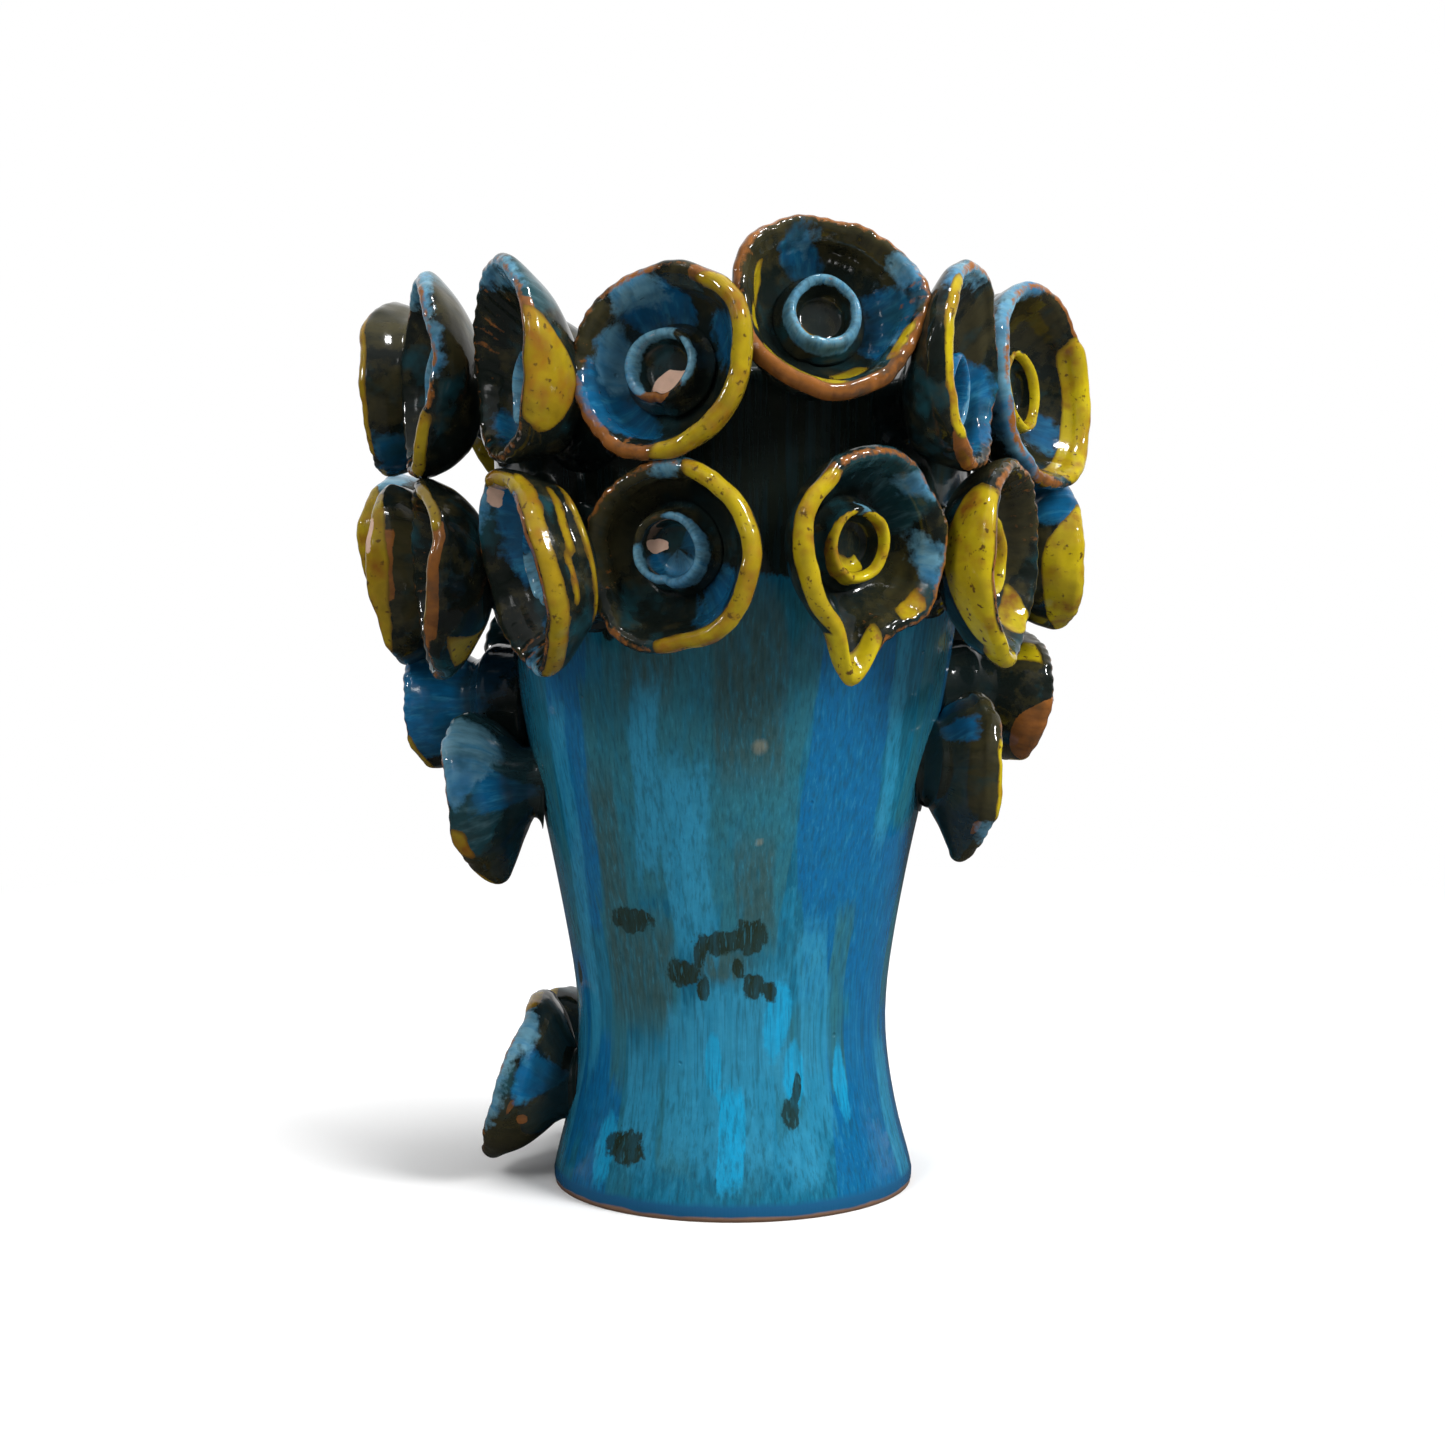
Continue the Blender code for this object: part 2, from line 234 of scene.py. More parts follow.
SPARE_CUPS = (
    (("sky", 0, 360, 0.5, 2.0),),
    (("yellow", 0, 360, 0.4, 2.0), ("rust", 40, 160, 0.8, 1.4)),
    (("blue", 0, 360, -0.1, 0.6), ("sky", 0, 360, 0.6, 1.9)),
)
# Lobes pulled or pinched in the edge of some petals: turn, half width in degrees, how
# far the edge moves outward and how far it moves forward, in millimetres.
LOBES = {
    "rim_bloom_01": ((205, 45, 1.5, 0), (62, 30, 1.0, 2), (-60, 40, 0.5, 1)),
    "rim_bloom_02": (
        (-50, 34, 3.0, 0), (80, 30, 3.0, 1), (180, 45, 1.0, 1), (12, 12, -1, 0),
        (245, 26, 2.2, 0),
    ),
    "rim_bloom_03": ((5, 40, 2.0, 0), (180, 40, 1.0, 2)),
    "rim_bloom_04": ((20, 45, 0.5, 0), (150, 35, 2.0, 0)),
    "rim_bloom_11": ((-15, 40, 3.0, 2), (120, 50, 0.0, 1)),
    "collar_bloom_01": ((212, 30, 4.0, 1), (0, 40, 0.5, 0), (-80, 36, 3.0, -2)),
    "collar_bloom_02": ((187, 11, 11.0, 0), (184, 26, 3.0, 0), (24, 40, 2.0, 0), (126, 20, 2.4, 0)),
    "collar_bloom_03": ((190, 35, 3.0, 1),),
    "collar_bloom_11": ((182, 30, 3.5, 0), (-16, 26, 3.0, 0), (60, 30, 0.0, 2)),
    "side_bloom_02": ((184, 15, 7.0, -2), (150, 30, 2.0, 0), (40, 40, 2.0, 0)),
    "side_bloom_04": ((188, 16, 6.0, -2), (225, 30, 2.0, 0)),
    "side_bloom_03": ((120, 50, 0.0, 2), (230, 40, 1.5, 0)),
    "collar_bloom_09": ((20, 30, 1.5, 0), (100, 22, -1.5, 2), (150, 30, 2.0, 0)),
    "collar_bloom_10": ((60, 24, 1.0, -2), (120, 30, -1.0, 2), (185, 26, 3.0, 0)),
    "rim_bloom_10": ((20, 26, 1.5, 0), (80, 30, 0.0, -2), (140, 26, 1.0, 2)),
    "foot_bloom_01": ((180, 34, 2.0, 2), (90, 40, 2.5, 0), (40, 30, 1.0, -2)),
}
# Stems pressed on with more clay, and by how many millimetres.
STOUT_STEMS = {
    "rim_bloom_10": 7.0, "rim_bloom_11": 7.0, "collar_bloom_10": 8.0, "collar_bloom_11": 7.0,
    "side_bloom_01": 7.0, "collar_bloom_03": 5.0, "rim_bloom_04": 4.0, "side_bloom_03": 4.0,
}
# Folds of clay on the back of some petals: turn, half width in degrees, reach, height.
FOLDS = {
    "collar_bloom_11": ((80, 62, 1.50, 3.4),),
    "rim_bloom_02": ((215, 22, 1.50, 3.0),),
    "collar_bloom_03": ((150, 40, 1.45, 2.0),),
    "rim_bloom_09": ((60, 30, 1.42, 1.6),),
    "foot_bloom_01": ((60, 40, 1.40, 1.5),),
}


# ---------------------------------------------------------------- settings


def colour_property(name, description, default):
    """A colour to set in the sidebar."""
    return bpy.props.FloatVectorProperty(
        name=name, description=description, default=default, subtype="COLOR", size=3,
        min=0.0, max=1.0,
    )


class VesselSettings(bpy.types.PropertyGroup):
    """Sizes and colours of the thrown vessel."""

    sides: bpy.props.IntProperty(
        name="Sides", description="Points round the vessel", default=288, min=32
    )
    levels: bpy.props.IntProperty(
        name="Levels", description="Points up the outer wall", default=230, min=16
    )
    wobble: bpy.props.FloatProperty(
        name="Wobble", description="Unevenness left by the hand",
        default=0.5 * MM, unit="LENGTH",
    )
    ground: colour_property("Ground", "Turquoise of the painted wall", (0.009, 0.150, 0.262))
    # This dark colour is also laid lower on the wall as painted shade, under collar_bloom_01 and
    # down the left side.
    cap: colour_property("Cap", "Dark glaze poured over the top", (0.010, 0.014, 0.010))
    clay: colour_property("Clay", "Bare clay at the foot", (0.23, 0.13, 0.08))


class BloomSettings(bpy.types.PropertyGroup):
    """Sizes and colours of the pressed petals and rolled cups."""

    turns: bpy.props.IntProperty(
        name="Turns", description="Points round the petals", default=160, min=24
    )
    wall: bpy.props.FloatProperty(
        name="Wall", description="Thickness of the pressed clay",
        default=3.4 * MM, unit="LENGTH",
    )
    ridge: bpy.props.FloatProperty(
        name="Ridge", description="Height of the finger ridges",
        default=0.35 * MM, unit="LENGTH",
    )
    dark: colour_property("Dark", "Green-black ground glaze", (0.007, 0.010, 0.008))
    yellow: colour_property("Yellow", "Mustard brushwork", (0.46, 0.36, 0.007))
    blue: colour_property("Blue", "Blue brushwork", (0.005, 0.100, 0.235))
    sky: colour_property("Sky", "Pale blue brushwork", (0.115, 0.270, 0.360))
    rust: colour_property("Rust", "Brown where the glaze breaks", (0.22, 0.080, 0.018))
    clay: colour_property("Clay", "Pale unglazed clay", (0.58, 0.38, 0.28))
    olive: colour_property("Olive", "Olive brushwork", (0.034, 0.030, 0.013))
    teal: colour_property("Teal", "Dark teal brushwork", (0.010, 0.045, 0.055))
    amber: colour_property(
        "Amber", "Orange brown that the mustard breaks to", (0.20, 0.080, 0.008)
    )
    # Ochre darkens the mustard in random patches, and as painted shade on the blooms towards the
    # left.
    ochre: colour_property("Ochre", "Mustard where it was fired hotter", (0.25, 0.165, 0.008))


class StageSettings(bpy.types.PropertyGroup):
    """Camera and floor."""

    camera_place: bpy.props.FloatVectorProperty(
        name="Camera", description="Where the camera stands", subtype="XYZ",
        unit="LENGTH", size=3, default=(-0.0035, -0.757, 0.1937),
    )
    camera_dip: bpy.props.FloatProperty(
        name="Dip", description="How far the camera looks down",
        default=math.radians(3.09), subtype="ANGLE",
    )
    lens: bpy.props.FloatProperty(
        name="Lens", description="Focal length in millimetres", default=56.55
    )
    floor: colour_property("Floor", "Colour of the floor", (0.92, 0.92, 0.92))


# ---------------------------------------------------------------- shapes


def smooth_step(low, high, value):
    """0 below low, 1 above high, eased between, for arrays."""
    t = np.clip((np.asarray(value, float) - low) / (high - low), 0.0, 1.0)
    return t * t * (3.0 - 2.0 * t)


def between(start, full, fading, end, value):
    """1 from full to fading, eased down to 0 at start and end."""
    return smooth_step(start, full, value) * (1.0 - smooth_step(fading, end, value))


def turn_from(place, turn):
    """Degrees from a place to each turn, the short way round."""
    return (turn - place + 180.0) % 360.0 - 180.0


def waves(angle, seed, orders=(2, 3, 5)):
    """A gentle closed curve of a few waves round a turn, from -1 to 1."""
    rng = np.random.default_rng(seed)
    total = np.zeros_like(np.asarray(angle, float))
    for order in orders:
        total += rng.uniform(0.5, 1.0) / order * np.sin(order * angle + rng.uniform(0, 6.3))
    return total / sum(1.0 / order for order in orders)


def grid_mesh(name, points, fields, start_cap=True, end_cap=True):
    """A closed tube of quads through rings[level][turn], with its fields as attributes."""
    levels, turns = points.shape[:2]
    flat = points.reshape(-1, 3)
    index = np.arange(levels * turns).reshape(levels, turns)
    quads = np.stack(
        [index[:-1], np.roll(index[:-1], -1, 1), np.roll(index[1:], -1, 1), index[1:]], -1
    ).reshape(-1, 4)
    mesh = bpy.data.meshes.new(name)
    faces = quads.tolist()
    if start_cap:
        faces.append(index[0][::-1].tolist())
    if end_cap:
        faces.append(index[-1].tolist())
    mesh.from_pydata(flat.tolist(), [], faces)
    for field, values in fields.items():
        layer = mesh.attributes.new(field, "FLOAT", "POINT")
        layer.data.foreach_set("value", np.ascontiguousarray(values, np.float32).ravel())
    bm = bmesh.new()
    bm.from_mesh(mesh)
    bmesh.ops.recalc_face_normals(bm, faces=bm.faces)
    bm.to_mesh(mesh)
    bm.free()
    mesh.shade_smooth()
    obj = bpy.data.objects.new(name, mesh)
    bpy.context.scene.collection.objects.link(obj)
    return obj


def smooth_profile(points, count):
    """A smooth run of points through a profile, evenly spread along its length."""
    points = np.asarray(points, float)
    padded = np.vstack([2 * points[0] - points[1], points, 2 * points[-1] - points[-2]])
    fine = []
    for i in range(len(points) - 1):
        p0, p1, p2, p3 = padded[i:i + 4]
        for t in np.linspace(0.0, 1.0, 24, endpoint=False):
            fine.append(0.5 * (
                2 * p1 + (p2 - p0) * t + (2 * p0 - 5 * p1 + 4 * p2 - p3) * t ** 2
                + (3 * p1 - p0 - 3 * p2 + p3) * t ** 3
            ))
    fine = np.array(fine + [points[-1]])
    steps = np.linalg.norm(np.diff(fine[:, :2], axis=0), axis=1)
    along = np.concatenate([[0.0], np.cumsum(steps)])
    wanted = np.linspace(0.0, along[-1], count)
    return np.stack([np.interp(wanted, along, fine[:, k]) for k in range(fine.shape[1])], 1)


def vessel_nodes():
    """The thrown sections of the vessel."""
    return sorted(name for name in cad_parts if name.startswith("vessel"))


class Wall:
    """Radii and centre of the vessel's wall at any height, read from its solid."""

    def __init__(self):
        corners, faces = [], []
        for name in vessel_nodes():
            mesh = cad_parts[name].data
            faces += [[i + len(corners) for i in p.vertices] for p in mesh.polygons]
            corners += [v.co for v in mesh.vertices]
        tree = BVHTree.FromPolygons(corners, faces)
        self.top = max(corner.z for corner in corners)
        self.heights = np.linspace(0.002, self.top - 0.004, 44)
        outer, inner, centre = [], [], []
        for z in self.heights:
            hits = [self.hit(tree, z, t, 0.0, False) for t in self.bearings()]
            middle = np.mean(hits, axis=0)
            centre.append(middle[0])
            outer.append(np.mean(np.linalg.norm(np.array(hits) - middle, axis=1)))
            if z > 0.016:
                near = [self.hit(tree, z, t, middle[0], True) for t in self.bearings()]
                inner.append(np.mean(np.linalg.norm(np.array(near) - middle, axis=1)))
            else:
                inner.append(outer[-1] - 0.012)
        self.outer_r, self.inner_r, self.middle = map(self.eased, (outer, inner, centre))

    @staticmethod
    def bearings():
        return np.linspace(0.0, FULL_TURN, 40, endpoint=False)

    @staticmethod
    def hit(tree, z, turn, centre, from_inside):
        """Where a level ray meets the wall, as x and y."""
        way = Vector((math.sin(turn), -math.cos(turn), 0.0))
        start = Vector((centre, 0.0, z))
        if from_inside:
            found = tree.ray_cast(start, way)[0]
        else:
            found = tree.ray_cast(start + way * 0.3, -way)[0]
        return np.array([found.x, found.y])

    @staticmethod
    def eased(values):
        """The same run with its corners rounded a little."""
        values = np.asarray(values, float)
        soft = values.copy()
        soft[1:-1] = 0.25 * values[:-2] + 0.5 * values[1:-1] + 0.25 * values[2:]
        return soft

    def outer(self, z):
        return np.interp(z, self.heights, self.outer_r)

    def inner(self, z):
        return np.interp(z, self.heights, self.inner_r)

    def centre(self, z):
        return np.interp(z, self.heights, self.middle)


class Bloom:
    """Place, directions and size of one bloom, read from its two solids."""

    def __init__(self, name, wall):
        self.name = name
        cup = np.array([v.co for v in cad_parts[name + "_cup"].data.vertices])
        petals = np.array([v.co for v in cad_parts[name + "_petals"].data.vertices])
        self.cup_middle = cup.mean(axis=0)
        spread = np.linalg.eigh(np.cov((cup - self.cup_middle).T))
        self.out = spread[1][:, 0]
        if self.out[:2] @ self.cup_middle[:2] < 0.0:
            self.out = -self.out
        up = np.array([0.0, 0.0, 1.0])
        self.up = up - self.out * (up @ self.out)
        self.up /= np.linalg.norm(self.up)
        self.across = np.cross(self.up, self.out)
        ahead = petals @ self.out
        lip = petals[ahead > ahead.max() - 4.0 * MM]
        flat = lip - np.outer(lip @ self.out, self.out)
        middle = 0.5 * (self.flat_box(flat)[0] + self.flat_box(flat)[1])
        level = ahead.max() - 0.4 * MM
        self.centre = middle[0] * self.across + middle[1] * self.up + level * self.out
        self.radius = np.linalg.norm(lip - self.centre, axis=1).max()
        cup_ahead = cup @ self.out
        self.depth = level - cup_ahead.min() + 3.7 * MM
        shift = self.cup_middle - self.centre
        self.shift = np.array([shift @ self.across, shift @ self.up])
        sides = cup - self.cup_middle
        sides -= np.outer(sides @ self.out, self.out)
        self.cup_r = np.linalg.norm(sides, axis=1).max()
        self.cup_height = cup_ahead.max() - cup_ahead.min()
        from_axis = petals[:, :2] - np.stack(
            [wall.centre(petals[:, 2]), np.zeros(len(petals))], 1
        )
        near = np.linalg.norm(from_axis, axis=1) - wall.outer(petals[:, 2])
        ring = petals[near < 1.2 * MM]
        self.foot = ring.mean(axis=0)
        self.stem_r = np.linalg.norm(ring - self.foot, axis=1).mean() - 2.0 * MM
        axis = np.array([wall.centre(self.foot[2]), 0.0, self.foot[2]])
        self.inward = (axis - self.foot) / np.linalg.norm(axis - self.foot)
        # Painted shade: 1 for blooms 50 mm or more to the left, falling to 0 for those 50 mm or
        # more to the right, darkening their mustard.
        self.warm = float(np.clip(0.5 - self.centre[0] / (100.0 * MM), 0.0, 1.0))
        self.seed = sum(ord(letter) * (i + 3) for i, letter in enumerate(name))

    def points(self, across, upward, ahead):
        """Points by their distances across, up and out from the middle of the edge."""
        return (
            self.centre + across[..., None] * self.across
            + upward[..., None] * self.up + ahead[..., None] * self.out
        )

    def flat_box(self, points):
        """Least and greatest distances of points across and up."""
        pair = np.stack([points @ self.across, points @ self.up], 1)
        return pair.min(axis=0), pair.max(axis=0)


def lumps(points, length, seed):
    """Soft unevenness through space, from about -1 to 1, with bumps about a length across."""
    rng = np.random.default_rng(seed)
    total = np.zeros(points.shape[:-1])
    for _ in range(8):
        way = rng.normal(size=3)
        way *= math.pi / (length * rng.uniform(0.7, 1.5) * np.linalg.norm(way))
        total += np.sin(points @ way + rng.uniform(0.0, 6.3))
    return total / 3.5


def stroke_weight(strokes, paint, turn, reach, seed):
    """How firmly a paint covers each point: over 0.5 inside its rounded strokes.

    A broad stroke narrows towards its two ends.
    """
    crisp = paint in CRISP
    soft_turn, soft_reach = (8.0, 0.05) if crisp else (16.0, 0.28)
    total = np.zeros_like(turn)
    angle = np.radians(turn)
    for number, (kind, first, last, near, far) in enumerate(strokes):
        if kind != paint:
            continue
        sway = 6.0 * np.sin(8.0 * reach + seed + number)
        away = np.abs(turn_from(0.5 * (first + last), turn + sway))
        stray = (0.02 if crisp else 0.07) * waves(angle, seed + 31 * number, (3, 5, 9))
        half = 0.5 * (last - first)
        narrow = 0.6 * smooth_step(0.16, 0.40, far - near) * np.clip(away / half, 0.0, 1.0) ** 2
        ending = far - (far - near) * narrow
        off = np.abs(reach + stray - 0.5 * (near + ending))
        side = (half - away) / soft_turn
        if last - first >= 360.0:
            side = np.full_like(turn, 3.0)
        edge = (0.5 * (ending - near) - off) / soft_reach
        if not crisp:
            edge = edge + 0.25
        corner = -np.log(np.exp(-3.0 * side) + np.exp(-3.0 * edge)) / 3.0
        total = np.maximum(total, np.clip(0.5 + corner, 0.0, 1.0))
    return total


def bloom_fields(bloom, table, spare, turn, reach, **worn):
    """Paint weights of a bloom's own strokes, or of a spare set, what glaze_break needs, and fields
    of painted shade.
    """
    strokes = table.get(bloom.name) or spare[bloom.seed % len(spare)]
    degrees = np.degrees(turn)
    fields = {
        paint: stroke_weight(strokes, paint, degrees, reach, bloom.seed) for paint in PAINTS
    }
    fields.update(
        # The extra fields from the callers hold edge and ridge for glaze_break, and painted shade
        # in the hollows and on the stems.
        worn, fold_x=np.sin(turn), fold_y=np.cos(turn), fold_z=reach,
        # Painted shade: darker mustard on the blooms to the left.
        warm=np.full_like(turn, bloom.warm),
    )
    return fields


def stem_width(stem_r, share, extra=0.0):
    """Radius of a stem, from the petals at 0 to the vessel at 1."""
    thick = 1.03 * stem_r + 1.4 * MM * (1.0 - share) ** 2 + 4.0 * MM * share ** 4
    return thick + extra * MM * smooth_step(0.0, 0.35, share)


def petal_profile(size, depth, wall, stem_r):
    """Radius, depth, reach and pull of the cup's offset, from the floor to the stem."""
    floor = depth - wall
    return smooth_profile(
        (
            (0.02 * size, floor, 0.0, 1.0), (0.30 * size, floor, 0.25, 1.0),
            (0.54 * size, floor - 0.6 * MM, 0.45, 1.0), (0.72 * size, 0.62 * floor, 0.62, 0.6),
            (size - 6.6 * MM, 0.30 * floor, 0.80, 0.2), (size - 5.0 * MM, 1.9 * MM, 0.90, 0.0),
            (size - 3.9 * MM, 0.3 * MM, 0.95, 0.0), (size - 2.5 * MM, -0.3 * MM, 1.0, 0.0),
            (size - 0.9 * MM, 0.5 * MM, 1.06, 0.0), (size, 2.6 * MM, 1.13, 0.0),
            (size - 0.4 * MM, 5.0 * MM, 1.21, 0.05), (0.94 * size, 0.44 * depth, 1.30, 0.2),
            (0.83 * size, 0.70 * depth, 1.45, 0.5),
            (max(0.62 * size, stem_r + 2.2 * MM), depth - 0.3 * MM, 1.62, 1.0),
            (stem_width(stem_r, 0.0), depth + 2.6 * MM, 1.75, 1.0),
        ),
        PROFILE_RINGS,
    )


def petal_shape(bloom, settings):
    """Points and fields of one set of petals, from the floor round the edge to the stem."""
    profile = petal_profile(bloom.radius, bloom.depth, settings.wall, bloom.stem_r)
    turns = np.linspace(0.0, FULL_TURN, settings.turns, endpoint=False)
    radius, down, reach, follow = (profile[:, k][:, None] for k in range(4))
    turn = np.broadcast_to(turns, (len(profile), len(turns)))
    reach = np.broadcast_to(reach, turn.shape)
    free = between(0.40, 0.95, 1.15, 1.62, reach)
    edge = between(0.84, 0.98, 1.14, 1.3, reach)
    swell = free * 1.3 * MM * waves(turn, bloom.seed)
    swell = swell + edge * 0.65 * MM * waves(turn, bloom.seed + 4, (7, 11, 17, 25))
    curl = free * 1.5 * MM * waves(turn, bloom.seed + 1, (2, 3, 5))
    curl = curl + edge * 0.55 * MM * waves(turn, bloom.seed + 6, (6, 10, 17))
    for place, half, outward, forward in LOBES.get(bloom.name, ()):
        away = turn_from(place, np.degrees(turn))
        lobe = free * np.exp(-((away / half) ** 2))
        swell = swell + lobe * outward * MM
        curl = curl + lobe * forward * MM
    for place, half, along, height in FOLDS.get(bloom.name, ()):
        away = turn_from(place, np.degrees(turn))
        swell = swell + height * MM * np.exp(-((away / half) ** 4) - ((reach - along) / 0.06) ** 2)
    crest = np.full_like(turns, 1.05)
    on_edge = bloom_fields(bloom, PETAL_STROKES, SPARE_STROKES, turns, crest)
    roll = np.broadcast_to(on_edge["yellow"], turn.shape)
    inward = between(0.82, 0.90, 0.92, 1.02, reach)
    swell = swell - roll * inward * 0.5 * MM
    curl = curl + roll * edge * 0.7 * MM
    inner = between(0.50, 0.75, 0.98, 1.06, reach)
    press = (0.5 + 0.5 * waves(turn, bloom.seed + 2, (1, 2))) * (1.0 - 0.7 * roll)
    ridges = np.sin(34.0 * turn + 2.6 * waves(turn, bloom.seed + 3, (2, 5, 9)))
    lift = inner * press * settings.ridge * ridges
    nick = between(0.88, 0.98, 1.05, 1.2, reach)
    swell = swell + nick * press * 0.35 * MM * ridges
    across = (radius + swell) * np.sin(turn) + follow * bloom.shift[0]
    upward = (radius + swell) * np.cos(turn) + follow * bloom.shift[1]
    ahead = -np.broadcast_to(down, turn.shape) + curl + lift
    points = bloom.points(across, upward, ahead)
    dent = free * (lumps(points, 9.0 * MM, bloom.seed) * 0.30 + lumps(points, 22.0 * MM, 5) * 0.5)
    points = points + (dent * MM)[..., None] * bloom.out
    stem = stem_points(bloom, turns)
    points = np.concatenate([points, stem])
    count = len(stem)
    more = np.linspace(1.78, 2.0, count)[:, None] + np.zeros((count, len(turns)))
    reach = np.concatenate([reach, more])
    turn = np.broadcast_to(turns, reach.shape)
    return points, bloom_fields(
        bloom, PETAL_STROKES, SPARE_STROKES, turn, reach,
        ridge=np.concatenate([inner * press * (0.5 + 0.5 * ridges), np.zeros_like(more)]),
        edge=np.exp(-(((reach - 1.03) / 0.07) ** 2)),
        # Painted shade, with some pooled glaze: darkens the petals' floor round the cup and the
        # stem.
        pool=0.75 * np.exp(-(((reach - 0.40) / 0.20) ** 2)) + smooth_step(1.5, 1.72, reach),
    )


def stem_points(bloom, turns):
    """Rings of the stem, which spreads where it is luted to the vessel."""
    back = bloom.centre - bloom.out * (bloom.depth + 2.6 * MM)
    back = back + bloom.across * bloom.shift[0] + bloom.up * bloom.shift[1]
    foot = bloom.foot + bloom.inward * 2.0 * MM
    rings = []
    for share in np.linspace(0.12, 1.0, STEM_RINGS):
        middle = back + (foot - back) * share
        axis = bloom.out * (1.0 - share) - bloom.inward * share
        axis /= np.linalg.norm(axis)
        up = bloom.up - axis * (axis @ bloom.up)
        up /= np.linalg.norm(up)
        across = np.cross(up, axis)
        loose = smooth_step(0.0, 0.5, share)
        spread = stem_width(bloom.stem_r, share, STOUT_STEMS.get(bloom.name, 0.0))
        spread = spread + loose * 0.7 * MM * waves(turns, bloom.seed + 5)[:, None]
        rings.append(
            middle + spread * (np.sin(turns)[:, None] * across + np.cos(turns)[:, None] * up)
        )
    return np.array(rings)


def cup_shape(bloom):
    """Points and fields of a rolled ring, from its blind hole over the lip to its foot."""
    tall = bloom.cup_height
    lip, base = 0.93 * bloom.cup_r, 1.14 * bloom.cup_r
    hole = lip - 3.1 * MM
    seat = bloom.depth - 3.9 * MM
    profile = smooth_profile(
        (
            (0.3 * MM, seat - 1.8 * MM, 0.0), (hole - 2.4 * MM, seat - 1.8 * MM, 0.2),
            (hole - 0.7 * MM, seat - 0.42 * tall, 0.42), (hole, seat - tall + 1.7 * MM, 0.7),
            (hole + 0.8 * MM, seat - tall + 0.1 * MM, 0.92),
            (lip - 1.0 * MM, seat - tall - 0.1 * MM, 1.1),
            (lip, seat - tall + 1.6 * MM, 1.3), (lip + 0.4 * MM, seat - 0.52 * tall, 1.5),
            (0.5 * (lip + base), seat - 0.28 * tall, 1.7), (base, seat - 0.8 * MM, 1.9),
            (base - 1.5 * MM, seat + 0.3 * MM, 2.0),
        ),
        CUP_RINGS,
    )
    turns = np.linspace(0.0, FULL_TURN, CUP_TURNS, endpoint=False)
    radius, down, reach = (profile[:, k][:, None] for k in range(3))
    turn = np.broadcast_to(turns, (len(profile), len(turns)))
    reach = np.broadcast_to(reach, turn.shape)
    loose = smooth_step(0.3, 0.9, reach)
    swell = loose * 0.7 * MM * waves(turn, bloom.seed + 7)
    seam = np.exp(-(turn_from(bloom.seed, np.degrees(turn)) / 9.0) ** 2)
    swell = swell - loose * seam * 0.8 * MM
    tilt = loose * 0.8 * MM * np.sin(turn + bloom.seed)
    across = (radius + swell) * np.sin(turn) + bloom.shift[0]
    upward = (radius + swell) * np.cos(turn) + bloom.shift[1]
    ahead = -down + tilt - loose * seam * 0.6 * MM
    points = bloom.points(across, upward, ahead)
    dent = 0.3 * MM * loose * lumps(points, 6.0 * MM, bloom.seed)
    points = points + dent[..., None] * bloom.out
    return points, bloom_fields(
        bloom, CUP_STROKES, SPARE_CUPS, turn, reach,
        ridge=0.3 * loose * (1.0 - seam),
        edge=np.exp(-(((reach - 1.0) / 0.12) ** 2)),
        # Painted shade, with some pooled glaze: darkens the blind hole and the foot where the cup
        # sits.
        pool=smooth_step(1.6, 1.95, reach) + 0.8 * (1.0 - smooth_step(0.0, 0.34, reach)),
    )


# Broad brushwork on the vessel: paint, bearing and height of the middle, half width in
# degrees and half height in millimetres. Bearings are from the front towards +X.
VESSEL_STROKES = (
    ("bright", 32, 150, 12, 48), ("bright", 35, 104, 12, 36), ("bright", -50, 140, 8, 52),
    ("bright", 57, 62, 10, 60), ("bright", -52, 26, 9, 28), ("bright", 44, 30, 9, 30),
    ("bright", 72, 150, 10, 50), ("bright", -74, 70, 10, 60),
    ("wash", -25, 148, 9, 48), ("wash", -7, 150, 10, 52), ("wash", 9.5, 141, 9.5, 56),
    ("wash", -37, 128, 6, 40), ("wash", -33, 78, 15, 20), ("wash", 22, 44, 6, 20),
    ("wash", -20, 30, 6, 16), ("wash", 40, 66, 4, 30), ("wash", -44, 62, 4, 24),
    ("stone", 4, 166, 9, 28), ("stone", -40, 100, 5, 40), ("stone", -31, 76, 11, 17),
    ("stone", 8, 104, 6, 16), ("stone", -22, 176, 7, 14), ("stone", -2, 80, 10, 7),
    ("pale", -13, 114, 7, 30), ("pale", -24, 138, 4, 30), ("pale", -3, 62, 13, 12),
    ("pale", 12, 56, 9, 20), ("pale", -14, 42, 10, 24), ("pale", 30, 58, 6, 34),
    ("pale", 5, 34, 10, 20), ("pale", -34, 34, 7, 18), ("pale", 48, 156, 3, 40),
    ("pale", -57, 100, 4, 60), ("pale", 24, 20, 8, 12),
    ("azure", -1, 25, 4.5, 15), ("azure", 16, 62, 5, 12), ("azure", 22, 44, 4, 10),
    ("azure", -46, 18, 5, 11), ("azure", -6, 49, 3, 9), ("azure", 42, 40, 3, 12),
    ("olive", 7, 89, 6.0, 5.6), ("olive", -4, 87, 8.0, 3.6), ("olive", -17, 77, 6.0, 4.4),
    ("olive", 7, 73, 3.6, 4.4), ("olive", 14, 71, 2.4, 3.6), ("olive", -38, 20, 8.0, 5.4),
    ("olive", 20, 32, 3.0, 5.0), ("olive", -33, 93, 8.0, 4.0), ("olive", -9, 72, 2.4, 3.6),
    ("olive", -11, 84, 2.0, 5.6), ("olive", 2, 79, 2.0, 3.6), ("olive", 23, 40, 1.6, 5.0),
    ("tan", 6.4, 149, 1.9, 2.2), ("tan", 8.4, 119, 0.8, 1.3),
)
WALL_PAINTS = ("bright", "wash", "stone", "pale", "azure", "olive", "tan")
SIDE_SOFT = 2.6     # degrees over which a stroke's side fades
END_SOFT = 26.0     # millimetres over which its ends feather out
DAB_HEIGHT = 13.0   # millimetres; a stroke whose half height is less is an oval dab


